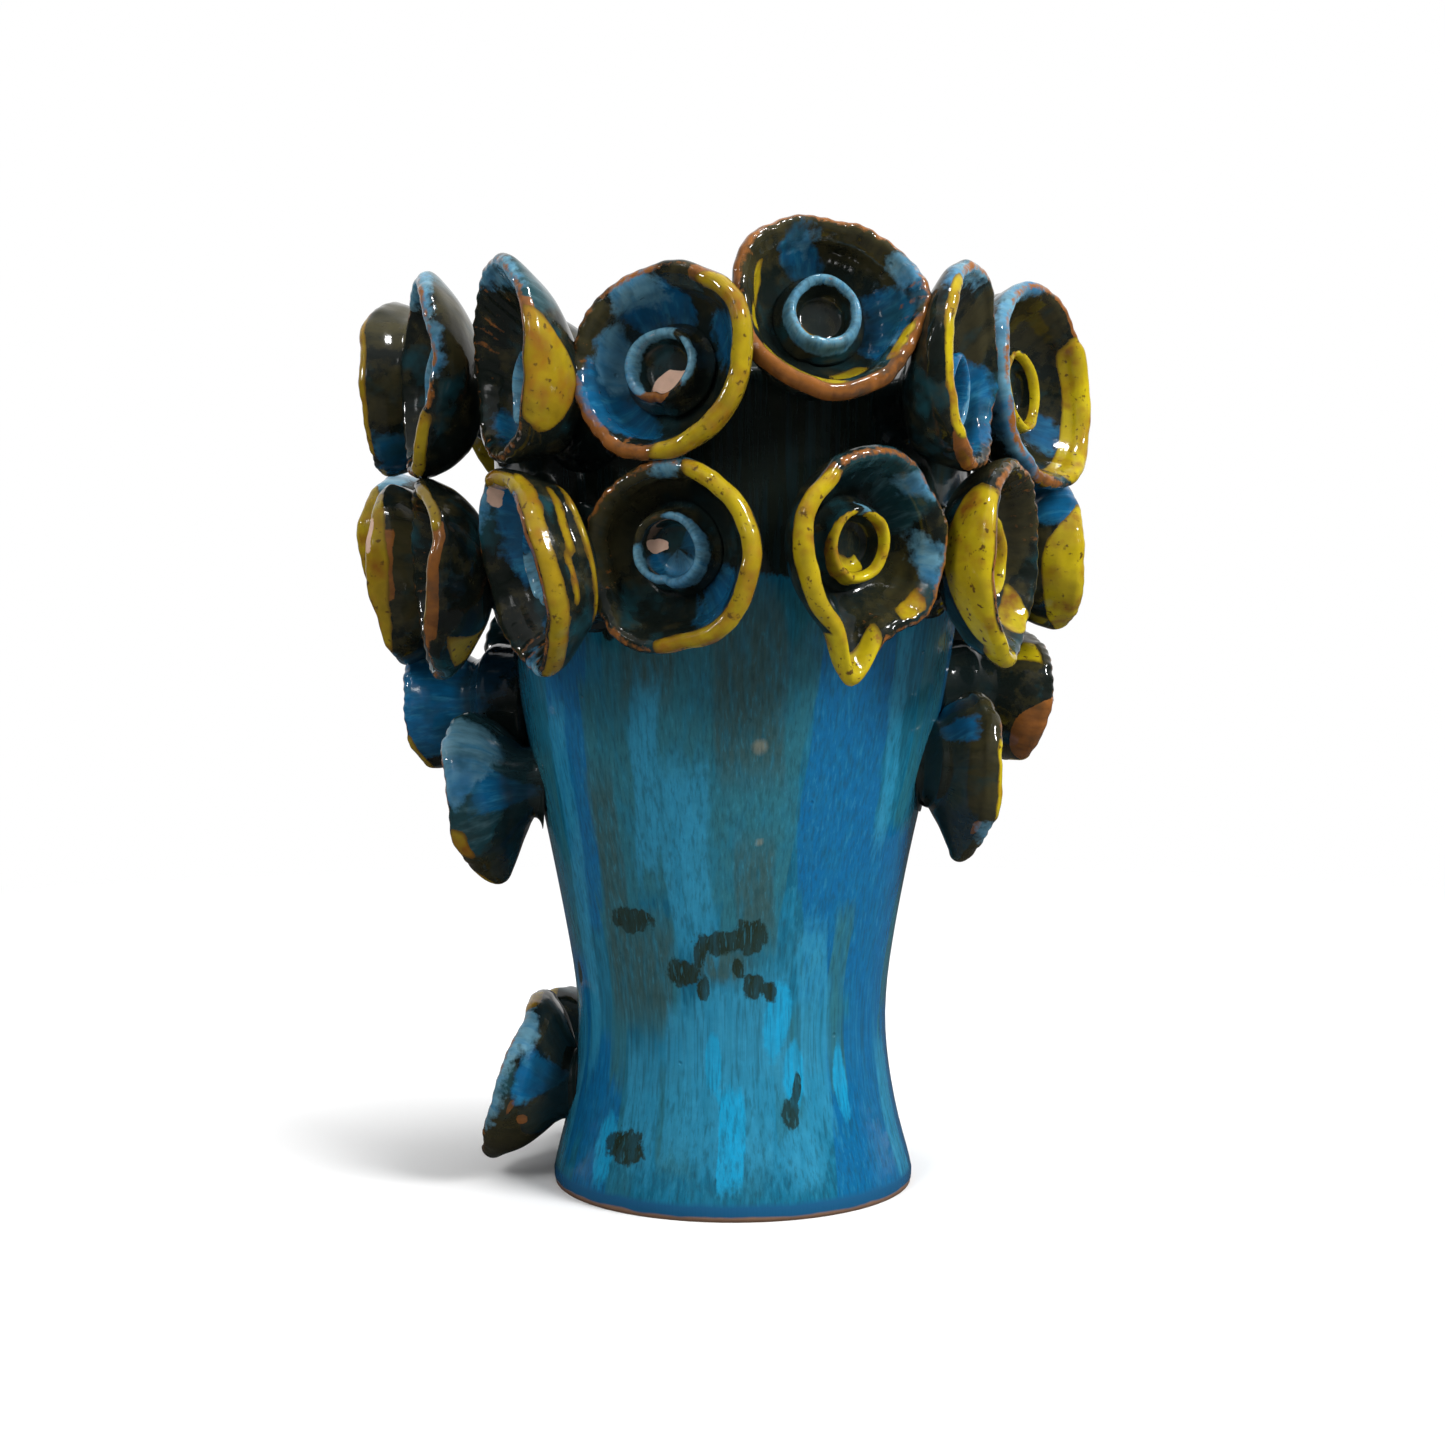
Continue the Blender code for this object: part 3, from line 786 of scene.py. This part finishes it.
def vessel_fields(bearing, height, inside):
    """Paint weights over the vessel by bearing in degrees and height in millimetres.

    The back, which VESSEL_STROKES leaves bare, is filled with strokes of the same kinds.
    """
    fields = {}
    rng = np.random.default_rng(11)
    strokes = list(VESSEL_STROKES)
    for place in range(70, 300, 13):
        for paint, wide, tall in (("bright", 7, 34), ("pale", 6, 26), ("wash", 9, 34)):
            middle = place + rng.uniform(-6, 6)
            strokes.append((paint, middle, rng.uniform(20, 165), wide, tall))
        if place % 2:
            strokes.append(("olive", place + rng.uniform(-6, 6), rng.uniform(20, 100), 2.5, 4.5))
    for paint in WALL_PAINTS:
        weight = np.zeros_like(bearing)
        for number, (kind, place, z, wide, tall) in enumerate(strokes):
            if kind != paint:
                continue
            lean = 0.07 * math.sin(2.3 * number) * (height - z)
            sway = 0.8 * np.sin(height / 9.0 + 1.7 * number)
            away = np.abs(turn_from(place, bearing + lean + sway))
            side = 0.5 + (wide - away) / SIDE_SOFT
            ends = 0.5 + (tall - np.abs(height - z)) / min(END_SOFT, 1.4 * tall)
            if tall < DAB_HEIGHT:
                side = ends = 1.35 - 0.85 * np.hypot(away / wide, (height - z) / tall)
            weight = np.maximum(weight, np.clip(np.minimum(side, ends), 0.0, 1.0))
        fields[paint] = weight
    uneven = waves(np.radians(bearing), 4, (3, 5, 8, 13, 21))
    # The dark glaze line dips 20 mm under collar_bloom_01 as a painted shadow, and drops 40 mm from
    # the left side round to the back as painted shade. From the right side round to the back it is
    # 10 mm lower.
    line = 201.0 + 5.0 * uneven - 20.0 * np.exp(-((bearing + 31.0) / 8.0) ** 2)
    line = line - 40.0 * smooth_step(60.0, 84.0, -bearing) - 10.0 * smooth_step(60.0, 90.0, bearing)
    fields["cap"] = np.clip(0.5 + (height - line) / 9.0, 0.0, 1.0)
    fields["inside"] = inside
    return fields


# ---------------------------------------------------------------- materials


class Nodes:
    """Small helper that adds and links nodes of one tree."""

    def __init__(self, tree):
        self.tree = tree

    def add(self, kind, place=(0, 0), **values):
        node = self.tree.nodes.new(kind)
        node.location = place
        for key, value in values.items():
            setattr(node, key, value)
        return node

    def link(self, start, end):
        self.tree.links.new(start, end)

    def math(self, operation, first, second=None, third=None, clamp=False):
        node = self.add("ShaderNodeMath", operation=operation, use_clamp=clamp)
        for socket, value in zip(node.inputs, (first, second, third)):
            self.feed(socket, value)
        return node.outputs[0]

    def times(self, first, second):
        return self.math("MULTIPLY", first, second)

    def plus(self, first, second, clamp=False):
        return self.math("ADD", first, second, clamp=clamp)

    def minus(self, first, second, clamp=False):
        return self.math("SUBTRACT", first, second, clamp=clamp)

    def feed(self, socket, value):
        """Link a socket, or set a plain value or colour."""
        if value is None:
            return
        if isinstance(value, bpy.types.NodeSocket):
            self.link(value, socket)
        else:
            socket.default_value = (*value, 1.0) if socket.type == "RGBA" else value

    def mix(self, factor, first, second, blend="MIX"):
        node = self.add("ShaderNodeMix", data_type="RGBA", blend_type=blend)
        self.feed(node.inputs["Factor"], factor)
        self.feed(node.inputs["A"], first)
        self.feed(node.inputs["B"], second)
        return node.outputs["Result"]

    def grey(self, value):
        """A colour with the same value in each part."""
        node = self.add("ShaderNodeCombineColor")
        for socket in node.inputs:
            self.link(value, socket)
        return node.outputs[0]

    def noise(self, vector, scale, detail=3.0, rough=0.55, distortion=0.0):
        node = self.add("ShaderNodeTexNoise")
        self.link(vector, node.inputs["Vector"])
        node.inputs["Scale"].default_value = scale
        node.inputs["Detail"].default_value = detail
        node.inputs["Roughness"].default_value = rough
        node.inputs["Distortion"].default_value = distortion
        return node.outputs["Fac"]

    def scaled(self, vector, scale):
        node = self.add("ShaderNodeMapping")
        self.link(vector, node.inputs["Vector"])
        node.inputs["Scale"].default_value = scale
        return node.outputs["Vector"]

    def ramp(self, value, low, high):
        """0 at low and 1 at high, clamped."""
        node = self.add("ShaderNodeMapRange")
        self.feed(node.inputs["Value"], value)
        node.inputs["From Min"].default_value = low
        node.inputs["From Max"].default_value = high
        return node.outputs["Result"]

    def field(self, name):
        return self.add("ShaderNodeAttribute", attribute_name=name).outputs["Fac"]

    def group(self, tree, **values):
        node = self.add("ShaderNodeGroup", node_tree=tree)
        for key, value in values.items():
            self.feed(node.inputs[key.replace("_", " ")], value)
        return node


def new_group(name, inputs, outputs):
    """An empty node group with named sockets."""
    tree = bpy.data.node_groups.new(name, "ShaderNodeTree")
    kinds = {"color": "NodeSocketColor", "value": "NodeSocketFloat", "vector": "NodeSocketVector"}
    for direction, sockets in (("INPUT", inputs), ("OUTPUT", outputs)):
        for label, kind in sockets:
            tree.interface.new_socket(label, in_out=direction, socket_type=kinds[kind])
    nodes = Nodes(tree)
    start = nodes.add("NodeGroupInput", (-900, 0))
    end = nodes.add("NodeGroupOutput", (900, 0))
    return tree, nodes, start.outputs, end.inputs


def brush_layer_group():
    """One paint laid over another: torn or feathered edge, streaky body, thin spots."""
    tree, n, given, out = new_group(
        "brush_layer",
        (("Under", "color"), ("Paint", "color"), ("Weight", "value"),
         ("Coordinates", "vector"), ("Streaks", "vector"), ("Thinness", "value"),
         ("Torn", "value"), ("Feather", "value"), ("Softness", "value")),
        (("Color", "color"), ("Mask", "value")),
    )
    ragged = n.noise(given["Coordinates"], 300.0, 4.0, 0.62)
    streak = n.noise(given["Streaks"], 1.0, 3.0, 0.6)
    torn = n.times(n.minus(ragged, 0.5), given["Torn"])
    combed = n.times(n.minus(streak, 0.5), given["Feather"])
    edge = n.plus(n.plus(given["Weight"], torn), combed)
    mask = n.math("DIVIDE", n.minus(edge, 0.5), given["Softness"])
    mask = n.plus(mask, 0.5, clamp=True)
    thin = n.times(given["Thinness"], n.ramp(streak, 0.40, 0.66))
    cover = n.times(mask, n.minus(1.0, thin))
    shade = n.grey(n.math("MULTIPLY_ADD", ragged, 0.5, 0.75))
    tinted = n.mix(1.0, given["Paint"], shade, "MULTIPLY")
    n.link(n.mix(cover, given["Under"], tinted), out["Color"])
    n.link(mask, out["Mask"])
    return tree


def glaze_break_group():
    """Glaze that runs thin on edges and ridges and shows the brown body under it."""
    tree, n, given, out = new_group(
        "glaze_break",
        (("Glaze", "color"), ("Body", "color"), ("Edge", "value"), ("Ridge", "value"),
         ("Coordinates", "vector"), ("Amount", "value")),
        (("Color", "color"), ("Worn", "value")),
    )
    chip = n.noise(given["Coordinates"], 520.0, 3.0, 0.6)
    patch = n.noise(given["Coordinates"], 90.0, 2.0, 0.5)
    raised = n.math("MAXIMUM", given["Edge"], given["Ridge"])
    amount = n.times(raised, given["Amount"])
    worn = n.plus(amount, n.times(n.minus(chip, 0.5), 0.9))
    worn = n.plus(worn, n.times(n.minus(patch, 0.5), 0.9))
    mask = n.ramp(worn, 0.50, 0.78)
    n.link(n.mix(mask, given["Glaze"], given["Body"]), out["Color"])
    n.link(mask, out["Worn"])
    return tree


def fired_surface_group():
    """Orange-peel height, pinholes and slightly uneven gloss of fired glaze."""
    tree, n, given, out = new_group(
        "fired_surface",
        (("Coordinates", "vector"), ("Streaks", "vector"), ("Matt", "value"),
         ("Streak Depth", "value")),
        (("Height", "value"), ("Roughness", "value")),
    )
    peel = n.noise(given["Coordinates"], 210.0, 3.0, 0.5)
    swells = n.noise(given["Coordinates"], 70.0, 2.0, 0.5)
    streak = n.noise(given["Streaks"], 1.0, 3.0, 0.6)
    pits = n.add("ShaderNodeTexVoronoi", feature="F1")
    n.link(given["Coordinates"], pits.inputs["Vector"])
    pits.inputs["Scale"].default_value = 115.0
    pit = n.ramp(pits.outputs["Distance"], 0.10, 0.02)
    rare = n.ramp(n.noise(given["Coordinates"], 70.0, 1.0, 0.5), 0.62, 0.66)
    height = n.plus(n.times(peel, 0.35), swells)
    height = n.plus(height, n.times(streak, given["Streak Depth"]))
    height = n.minus(height, n.times(n.times(pit, rare), 1.5))
    n.link(height, out["Height"])
    gloss = n.math("MULTIPLY_ADD", n.ramp(peel, 0.3, 0.7), 0.07, 0.07)
    n.link(n.plus(gloss, n.times(given["Matt"], 0.5)), out["Roughness"])
    return tree


def shared_group(name):
    """A node group, built the first time it is asked for."""
    makers = {
        "brush_layer": brush_layer_group,
        "glaze_break": glaze_break_group,
        "fired_surface": fired_surface_group,
    }
    return bpy.data.node_groups.get(name) or makers[name]()


def new_material(name):
    """A material with an empty Principled surface, and the helper for its tree."""
    material = bpy.data.materials.new(name)
    material.use_nodes = True
    shader = material.node_tree.nodes["Principled BSDF"]
    shader.inputs["IOR"].default_value = 1.5
    return material, Nodes(material.node_tree), shader


def finish_surface(n, shader, color, coordinates, streaks, matt, streak_depth, depth):
    """Feed a shader with its colour and the fired surface."""
    surface = n.group(
        shared_group("fired_surface"), Coordinates=coordinates, Streaks=streaks,
        Matt=matt, Streak_Depth=streak_depth,
    )
    bump = n.add("ShaderNodeBump")
    bump.inputs["Distance"].default_value = depth
    bump.inputs["Strength"].default_value = 1.0
    n.link(surface.outputs["Height"], bump.inputs["Height"])
    n.link(bump.outputs["Normal"], shader.inputs["Normal"])
    n.link(color, shader.inputs["Base Color"])
    n.link(surface.outputs["Roughness"], shader.inputs["Roughness"])


def bloom_glaze(name, ridged):
    """Dark glaze on petals or cups, with all the brushwork laid over it."""
    colours = bpy.context.scene.vase_blooms
    material, n, shader = new_material(name)
    place = n.add("ShaderNodeTexCoord").outputs["Object"]
    fold = n.add("ShaderNodeCombineXYZ")
    for axis in "xyz":
        n.link(n.field("fold_" + axis), fold.inputs[axis.upper()])
    scatter = n.add("ShaderNodeVectorMath", operation="MULTIPLY_ADD")
    n.link(fold.outputs[0], scatter.inputs[0])
    scatter.inputs[1].default_value = (5.0, 5.0, 1.6)
    n.link(n.scaled(place, (40.0, 40.0, 40.0)), scatter.inputs[2])
    streaks = scatter.outputs[0]
    wide = n.noise(place, 60.0, 3.0, 0.6)
    fine = n.noise(place, 150.0, 3.0, 0.6)
    specks = n.noise(place, 420.0, 2.0, 0.6)
    lines = n.noise(streaks, 1.6, 3.0, 0.6)
    cloud = n.noise(place, 34.0, 3.0, 0.6, 0.4)
    color = n.mix(n.ramp(fine, 0.50, 0.70), colours.dark, colours.olive)
    color = n.mix(n.ramp(wide, 0.55, 0.70), color, colours.teal)
    grain = n.plus(n.times(wide, 0.6), n.times(fine, 0.4))
    breaks = n.ramp(grain, 0.49, 0.64)
    pale_in_blue = n.ramp(lines, 0.50, 0.75)
    dim_in_blue = n.times(n.ramp(cloud, 0.48, 0.66), 0.75)
    uneven = n.times(n.ramp(cloud, 0.40, 0.62), 0.5)
    # Painted shade and random mottling: the mustard turns to ochre on the blooms to the left, and
    # in patches.
    mottle_and_left_shade = n.plus(n.times(n.field("warm"), 0.65), uneven, clamp=True)
    yellow = n.mix(mottle_and_left_shade, colours.yellow, colours.ochre)
    yellow = n.mix(breaks, yellow, colours.amber)
    rim_of_paint = n.times(n.ramp(n.field("yellow"), 0.95, 0.55), 0.85)
    yellow = n.mix(rim_of_paint, yellow, (0.085, 0.045, 0.008))
    blue = n.mix(pale_in_blue, colours.blue, (0.03, 0.20, 0.34))
    sky = n.mix(pale_in_blue, colours.sky, (0.035, 0.17, 0.31))
    paints = {
        "olive": (colours.olive, 0.65),
        "teal": (n.mix(pale_in_blue, colours.teal, (0.05, 0.11, 0.13)), 0.5),
        "rust": (n.mix(breaks, colours.rust, (0.085, 0.040, 0.016)), 0.45),
        "blue": (n.mix(dim_in_blue, blue, colours.teal), 0.35),
        "sky": (n.mix(dim_in_blue, sky, colours.blue), 0.45),
        "yellow": (n.mix(n.ramp(specks, 0.62, 0.70), yellow, (0.10, 0.055, 0.008)), 0.10),
    }
    for paint, (shade, thinness) in paints.items():
        crisp = paint in CRISP
        layer = n.group(
            shared_group("brush_layer"), Under=color, Paint=shade, Weight=n.field(paint),
            Coordinates=place, Streaks=streaks, Thinness=thinness,
            Torn=0.7 if crisp else 0.95, Feather=0.6, Softness=0.10 if crisp else 0.32,
        )
        color = layer.outputs["Color"]
    # Painted shade, with some pooled glaze: darkens the hollows round the cups, the cups' holes and
    # the stems.
    color = n.mix(n.times(n.field("pool"), 0.8), color, (0.006, 0.011, 0.011))
    spared = n.minus(1.0, n.times(n.field("yellow"), 0.75))
    broken = n.group(
        shared_group("glaze_break"), Glaze=color, Body=colours.rust,
        Edge=n.times(n.field("edge"), spared), Ridge=n.field("ridge"),
        Coordinates=place, Amount=0.66 if ridged else 0.40,
    )
    chipped = n.group(
        shared_group("glaze_break"), Glaze=broken.outputs["Color"], Body=(0.42, 0.34, 0.30),
        Edge=n.times(n.field("edge"), spared), Ridge=0.0,
        Coordinates=n.scaled(place, (1.3, 1.3, 1.3)), Amount=0.36,
    )
    bare = n.group(
        shared_group("brush_layer"), Under=chipped.outputs["Color"], Paint=colours.clay,
        Weight=n.field("clay"), Coordinates=place, Streaks=streaks, Thinness=0.0,
        Torn=0.8, Feather=0.5, Softness=0.12,
    )
    finish_surface(n, shader, bare.outputs["Color"], place, streaks, bare.outputs["Mask"],
                   0.10, 0.45 * MM)
    return material


def vessel_glaze():
    """Turquoise wall with brushed washes, the dark glaze over the top, laid lower in places as
    painted shade, and the bare clay at the foot.
    """
    colours = bpy.context.scene.vase_vessel
    material, n, shader = new_material("vessel_glaze")
    place = n.add("ShaderNodeTexCoord").outputs["Object"]
    streaks = n.scaled(place, (420.0, 420.0, 13.0))
    hairs = n.scaled(place, (1000.0, 1000.0, 26.0))
    broad = n.scaled(place, (70.0, 70.0, 14.0))
    tone = n.noise(streaks, 1.0, 4.0, 0.6)
    hair = n.noise(hairs, 1.0, 3.0, 0.6)
    drift = n.noise(broad, 1.0, 3.0, 0.55)
    deep = tuple(0.62 * c for c in colours.ground)
    color = n.mix(n.ramp(tone, 0.36, 0.62), deep, colours.ground)
    color = n.mix(n.times(n.ramp(drift, 0.48, 0.70), 0.7), color,
                  (0.018, 0.115, 0.160))
    paints = (
        ("bright", (0.004, 0.105, 0.255), 0.30, 0.15, 0.45, 0.20),
        ("wash", (0.020, 0.122, 0.162), 0.45, 0.15, 0.80, 0.22),
        ("stone", (0.030, 0.080, 0.086), 0.60, 0.20, 1.00, 0.50),
        ("pale", (0.022, 0.205, 0.340), 0.55, 0.20, 1.10, 0.40),
        ("azure", (0.008, 0.260, 0.470), 0.45, 0.40, 0.60, 0.20),
        ("olive", (0.012, 0.022, 0.014), 0.20, 1.00, 0.90, 0.16),
        ("tan", (0.150, 0.170, 0.140), 0.0, 0.40, 0.20, 0.60),
        # Dark glaze over the top, laid lower in places as painted shade.
        ("cap", colours.cap, 0.06, 0.60, 0.40, 0.12),
    )
    for paint, shade, thinness, torn, feather, softness in paints:
        layer = n.group(
            shared_group("brush_layer"), Under=color, Paint=shade, Weight=n.field(paint),
            Coordinates=place, Streaks=streaks, Thinness=thinness, Torn=torn,
            Feather=feather, Softness=softness,
        )
        color = layer.outputs["Color"]
    open_wall = n.minus(1.0, n.field("cap"), clamp=True)
    for first, last, share, shade in (
        (0.50, 0.66, 0.42, (0.010, 0.045, 0.055)), (0.42, 0.32, 0.30, (0.030, 0.230, 0.340)),
    ):
        some = n.times(n.ramp(hair, first, last), n.times(open_wall, share))
        color = n.mix(some, color, shade)
    color = n.mix(n.field("inside"), color, (0.012, 0.014, 0.012))
    height = n.add("ShaderNodeSeparateXYZ")
    n.link(place, height.inputs[0])
    wander = n.times(n.noise(place, 70.0, 2.0, 0.5), 2.2 * MM)
    low = n.minus(height.outputs["Z"], wander)
    band = n.ramp(low, 5.0 * MM, 3.4 * MM)
    color = n.mix(band, color, (0.010, 0.085, 0.19))
    foot = n.ramp(low, 0.8 * MM, 0.1 * MM)
    bare = n.mix(foot, color, colours.clay)
    finish_surface(n, shader, bare, place, streaks, foot, n.times(open_wall, 0.5),
                   0.30 * MM)
    return material


# ---------------------------------------------------------------- operators


def place_piece(piece, nodes, material):
    """Give a piece its material, and let it stand for its solids."""
    piece.data.materials.append(material)
    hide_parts(*nodes)
    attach(piece, "root")


def bloom_names(row):
    """The blooms of one row, in order."""
    ends = "_petals"
    return sorted(n[:-len(ends)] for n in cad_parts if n.startswith(row) and n.endswith(ends))


def vessel_profile(wall, levels):
    """Radius, height and whether inside, from under the foot over the lip to the floor."""
    top = wall.top
    up = np.linspace(0.004, top - 0.004, levels)
    rings = [(wall.outer(0.001) - 6 * MM, 0.0, 0), (wall.outer(0.002) - 0.9 * MM, 0.0, 0)]
    rings += [(wall.outer(0.004) - 0.1 * MM, 1.4 * MM, 0)]
    rings += [(float(wall.outer(z)), z, 0) for z in up]
    lip = wall.outer(top)
    lip_in = wall.inner(top)
    rings += [(lip - 0.6 * MM, top - 1.5 * MM, 0), (lip - 2.2 * MM, top - 0.1 * MM, 0)]
    rings += [(lip_in + 2.2 * MM, top - 0.1 * MM, 1), (lip_in + 0.5 * MM, top - 1.6 * MM, 1)]
    down = np.linspace(top - 0.004, 0.018, levels // 2)
    rings += [(float(wall.inner(z)), z, 1) for z in down]
    floor = wall.inner(0.018)
    rings += [(floor - 3 * MM, 0.011, 1), (floor - 10 * MM, 0.0082, 1), (floor * 0.5, 0.008, 1)]
    rings += [(1 * MM, 0.008, 1)]
    return rings


class VASE_OT_vessel(bpy.types.Operator):
    """Throw the vessel and glaze it"""

    bl_idname = "vase.vessel"
    bl_label = "Vessel"

    def execute(self, context):
        settings = context.scene.vase_vessel
        wall = Wall()
        rings = vessel_profile(wall, settings.levels)
        radius, height, inside = (np.array(column)[:, None] for column in zip(*rings))
        turns = np.linspace(0.0, FULL_TURN, settings.sides, endpoint=False)
        turn = np.broadcast_to(turns, (len(radius), len(turns)))
        z = np.broadcast_to(height, turn.shape)
        body = smooth_step(0.004, 0.03, z)
        swell = body * settings.wobble * waves(turn + 9.0 * z, 21, (2, 3, 4))
        swell = swell + body * 0.35 * MM * waves(turn + 4.0 * z, 22, (7, 11, 15))
        points = np.stack(
            [
                wall.centre(z) + (radius + swell) * np.sin(turn),
                -(radius + swell) * np.cos(turn),
                z,
            ], -1
        )
        bearing = turn_from(0.0, np.degrees(turn))
        inside = np.broadcast_to(inside, turn.shape).astype(float)
        piece = grid_mesh("thrown_vessel", points, vessel_fields(bearing, z / MM, inside))
        place_piece(piece, vessel_nodes(), vessel_glaze())
        return {"FINISHED"}


def make_row(row, verb, node_ending, shape, glaze):
    """Make one kind of piece for every bloom of a row."""
    wall = Wall()
    for name in bloom_names(row):
        points, fields = shape(Bloom(name, wall))
        piece = grid_mesh(f"{verb}_{name}", points, fields)
        place_piece(piece, [name + node_ending], glaze)


class VASE_OT_petals(bpy.types.Operator):
    """Press the petals of one row and lute them on"""

    bl_idname = "vase.petals"
    bl_label = "Petals"
    row: bpy.props.StringProperty(name="Row", description="Row to press", default=ROWS[0])

    def execute(self, context):
        settings = context.scene.vase_blooms
        glaze = bpy.data.materials.get("petal_glaze") or bloom_glaze("petal_glaze", True)
        make_row(
            self.row, "pressed", "_petals",
            lambda bloom: petal_shape(bloom, settings), glaze,
        )
        return {"FINISHED"}


class VASE_OT_cups(bpy.types.Operator):
    """Roll the rings of one row and set them in the petals"""

    bl_idname = "vase.cups"
    bl_label = "Cups"
    row: bpy.props.StringProperty(name="Row", description="Row to fill", default=ROWS[0])

    def execute(self, context):
        glaze = bpy.data.materials.get("cup_glaze") or bloom_glaze("cup_glaze", False)
        make_row(self.row, "rolled", "_cup", cup_shape, glaze)
        return {"FINISHED"}


# Places in metres, sides of the square and power in watts.
LIGHT_AIM = Vector((0.0, 0.0, 0.16))
LIGHTS = (
    ("key", (1.05, -0.74, 0.96), 0.6, 27.0), ("fill", (-0.75, -1.15, 1.0), 0.5, 9.0),
    ("top", (0.1, 0.1, 1.6), 0.6, 14.0),
)
GLINTS = (
    ((1.05, -0.60, 1.15), 0.16, 9.0), ((-0.75, -1.15, 1.0), 0.10, 4.0),
    ((0.15, -0.35, 1.5), 0.14, 6.0), ((-1.2, -0.1, 0.7), 0.10, 3.0),
)


def area_light(name, place, size, power, glint=False):
    """A square light aimed at the vase, to light the clay or only to glint on its glaze."""
    data = bpy.data.lights.new(name, "AREA")
    data.shape = "SQUARE"
    data.size = size
    data.energy = power
    light = bpy.data.objects.new(name, data)
    bpy.context.scene.collection.objects.link(light)
    light.location = place
    light.visible_glossy = glint
    light.visible_diffuse = not glint
    light.rotation_euler = (LIGHT_AIM - Vector(place)).to_track_quat("-Z", "Y").to_euler()


def studio_world():
    """White to the camera, even light on the clay, and dim reflections but for the back."""
    world = bpy.data.worlds.new("studio")
    world.use_nodes = True
    n = Nodes(world.node_tree)
    background = world.node_tree.nodes["Background"]
    way = n.add("ShaderNodeSeparateXYZ")
    n.link(n.add("ShaderNodeTexCoord").outputs["Generated"], way.inputs[0])
    behind = n.times(n.ramp(way.outputs["Y"], 0.1, 0.9), 0.75)
    above = n.times(n.ramp(way.outputs["Z"], 0.1, 0.9), 0.35)
    mirrored = n.plus(n.plus(behind, above), 0.02)
    rays = n.add("ShaderNodeLightPath").outputs
    lit = n.mix(rays["Is Glossy Ray"], (0.55, 0.55, 0.55), n.grey(mirrored))
    n.link(n.mix(rays["Is Camera Ray"], lit, (1.0, 1.0, 1.0)), background.inputs["Color"])
    return world


def studio_floor(colour):
    """White floor, pure white further off, that throws little light back at the clay."""
    material, n, shader = new_material("studio_floor")
    rays = n.add("ShaderNodeLightPath").outputs
    thrown = n.mix(rays["Is Glossy Ray"], (0.30, 0.30, 0.30), (0.05, 0.05, 0.05))
    n.link(n.mix(rays["Is Camera Ray"], thrown, colour), shader.inputs["Base Color"])
    shader.inputs["Roughness"].default_value = 1.0
    shader.inputs["Specular IOR Level"].default_value = 0.0
    distance = n.add("ShaderNodeVectorMath", operation="LENGTH")
    n.link(n.add("ShaderNodeTexCoord").outputs["Object"], distance.inputs[0])
    far = n.times(n.ramp(distance.outputs["Value"], 0.35, 0.9), rays["Is Camera Ray"])
    white = n.add("ShaderNodeEmission")
    blend = n.add("ShaderNodeMixShader")
    n.link(far, blend.inputs["Fac"])
    n.link(shader.outputs[0], blend.inputs[1])
    n.link(white.outputs[0], blend.inputs[2])
    n.link(blend.outputs[0], material.node_tree.nodes["Material Output"].inputs["Surface"])
    return material


class VASE_OT_stage(bpy.types.Operator):
    """Set the floor, the lights and the camera"""

    bl_idname = "vase.stage"
    bl_label = "Stage"

    def execute(self, context):
        settings = context.scene.vase_stage
        mesh = bpy.data.meshes.new("floor")
        bm = bmesh.new()
        bmesh.ops.create_grid(bm, x_segments=8, y_segments=8, size=6.0)
        bm.to_mesh(mesh)
        bm.free()
        floor = bpy.data.objects.new("floor", mesh)
        context.scene.collection.objects.link(floor)
        mesh.materials.append(studio_floor(settings.floor))
        context.scene.world = studio_world()
        for light in LIGHTS:
            area_light(*light)
        for number, glint in enumerate(GLINTS, 1):
            area_light(f"glint_{number}", *glint, glint=True)
        camera = bpy.data.objects.new("camera", bpy.data.cameras.new("camera"))
        context.scene.collection.objects.link(camera)
        camera.location = settings.camera_place
        camera.rotation_euler = (math.radians(90.0) - settings.camera_dip, 0.0, 0.0)
        camera.data.lens = settings.lens
        camera.data.sensor_width = 36.0
        context.scene.camera = camera
        context.scene.view_settings.view_transform = "Standard"
        return {"FINISHED"}


class VASE_PT_panel(bpy.types.Panel):
    """Lists the pieces of the vase"""

    bl_label = "Vase"
    bl_idname = "VASE_PT_panel"
    bl_space_type = "VIEW_3D"
    bl_region_type = "UI"
    bl_category = "Vase"

    def draw(self, context):
        column = self.layout.column()
        column.operator(VASE_OT_vessel.bl_idname)
        for row in ROWS:
            column.operator(VASE_OT_petals.bl_idname, text=f"Petals, {row}").row = row
            column.operator(VASE_OT_cups.bl_idname, text=f"Cups, {row}").row = row
        column.operator(VASE_OT_stage.bl_idname)


CLASSES = (
    VesselSettings, BloomSettings, StageSettings, VASE_OT_vessel, VASE_OT_petals,
    VASE_OT_cups, VASE_OT_stage, VASE_PT_panel,
)
SETTINGS = (
    ("vase_vessel", VesselSettings), ("vase_blooms", BloomSettings),
    ("vase_stage", StageSettings),
)


def register():
    for cls in CLASSES:
        bpy.utils.register_class(cls)
    for name, group in SETTINGS:
        setattr(bpy.types.Scene, name, bpy.props.PointerProperty(type=group))


def unregister():
    for name, _ in SETTINGS:
        delattr(bpy.types.Scene, name)
    for cls in reversed(CLASSES):
        bpy.utils.unregister_class(cls)


def main():
    register()
    bpy.ops.vase.vessel()
    for row in ROWS:
        bpy.ops.vase.petals(row=row)
        bpy.ops.vase.cups(row=row)
    bpy.ops.vase.stage()


if __name__ == "__main__":
    main()
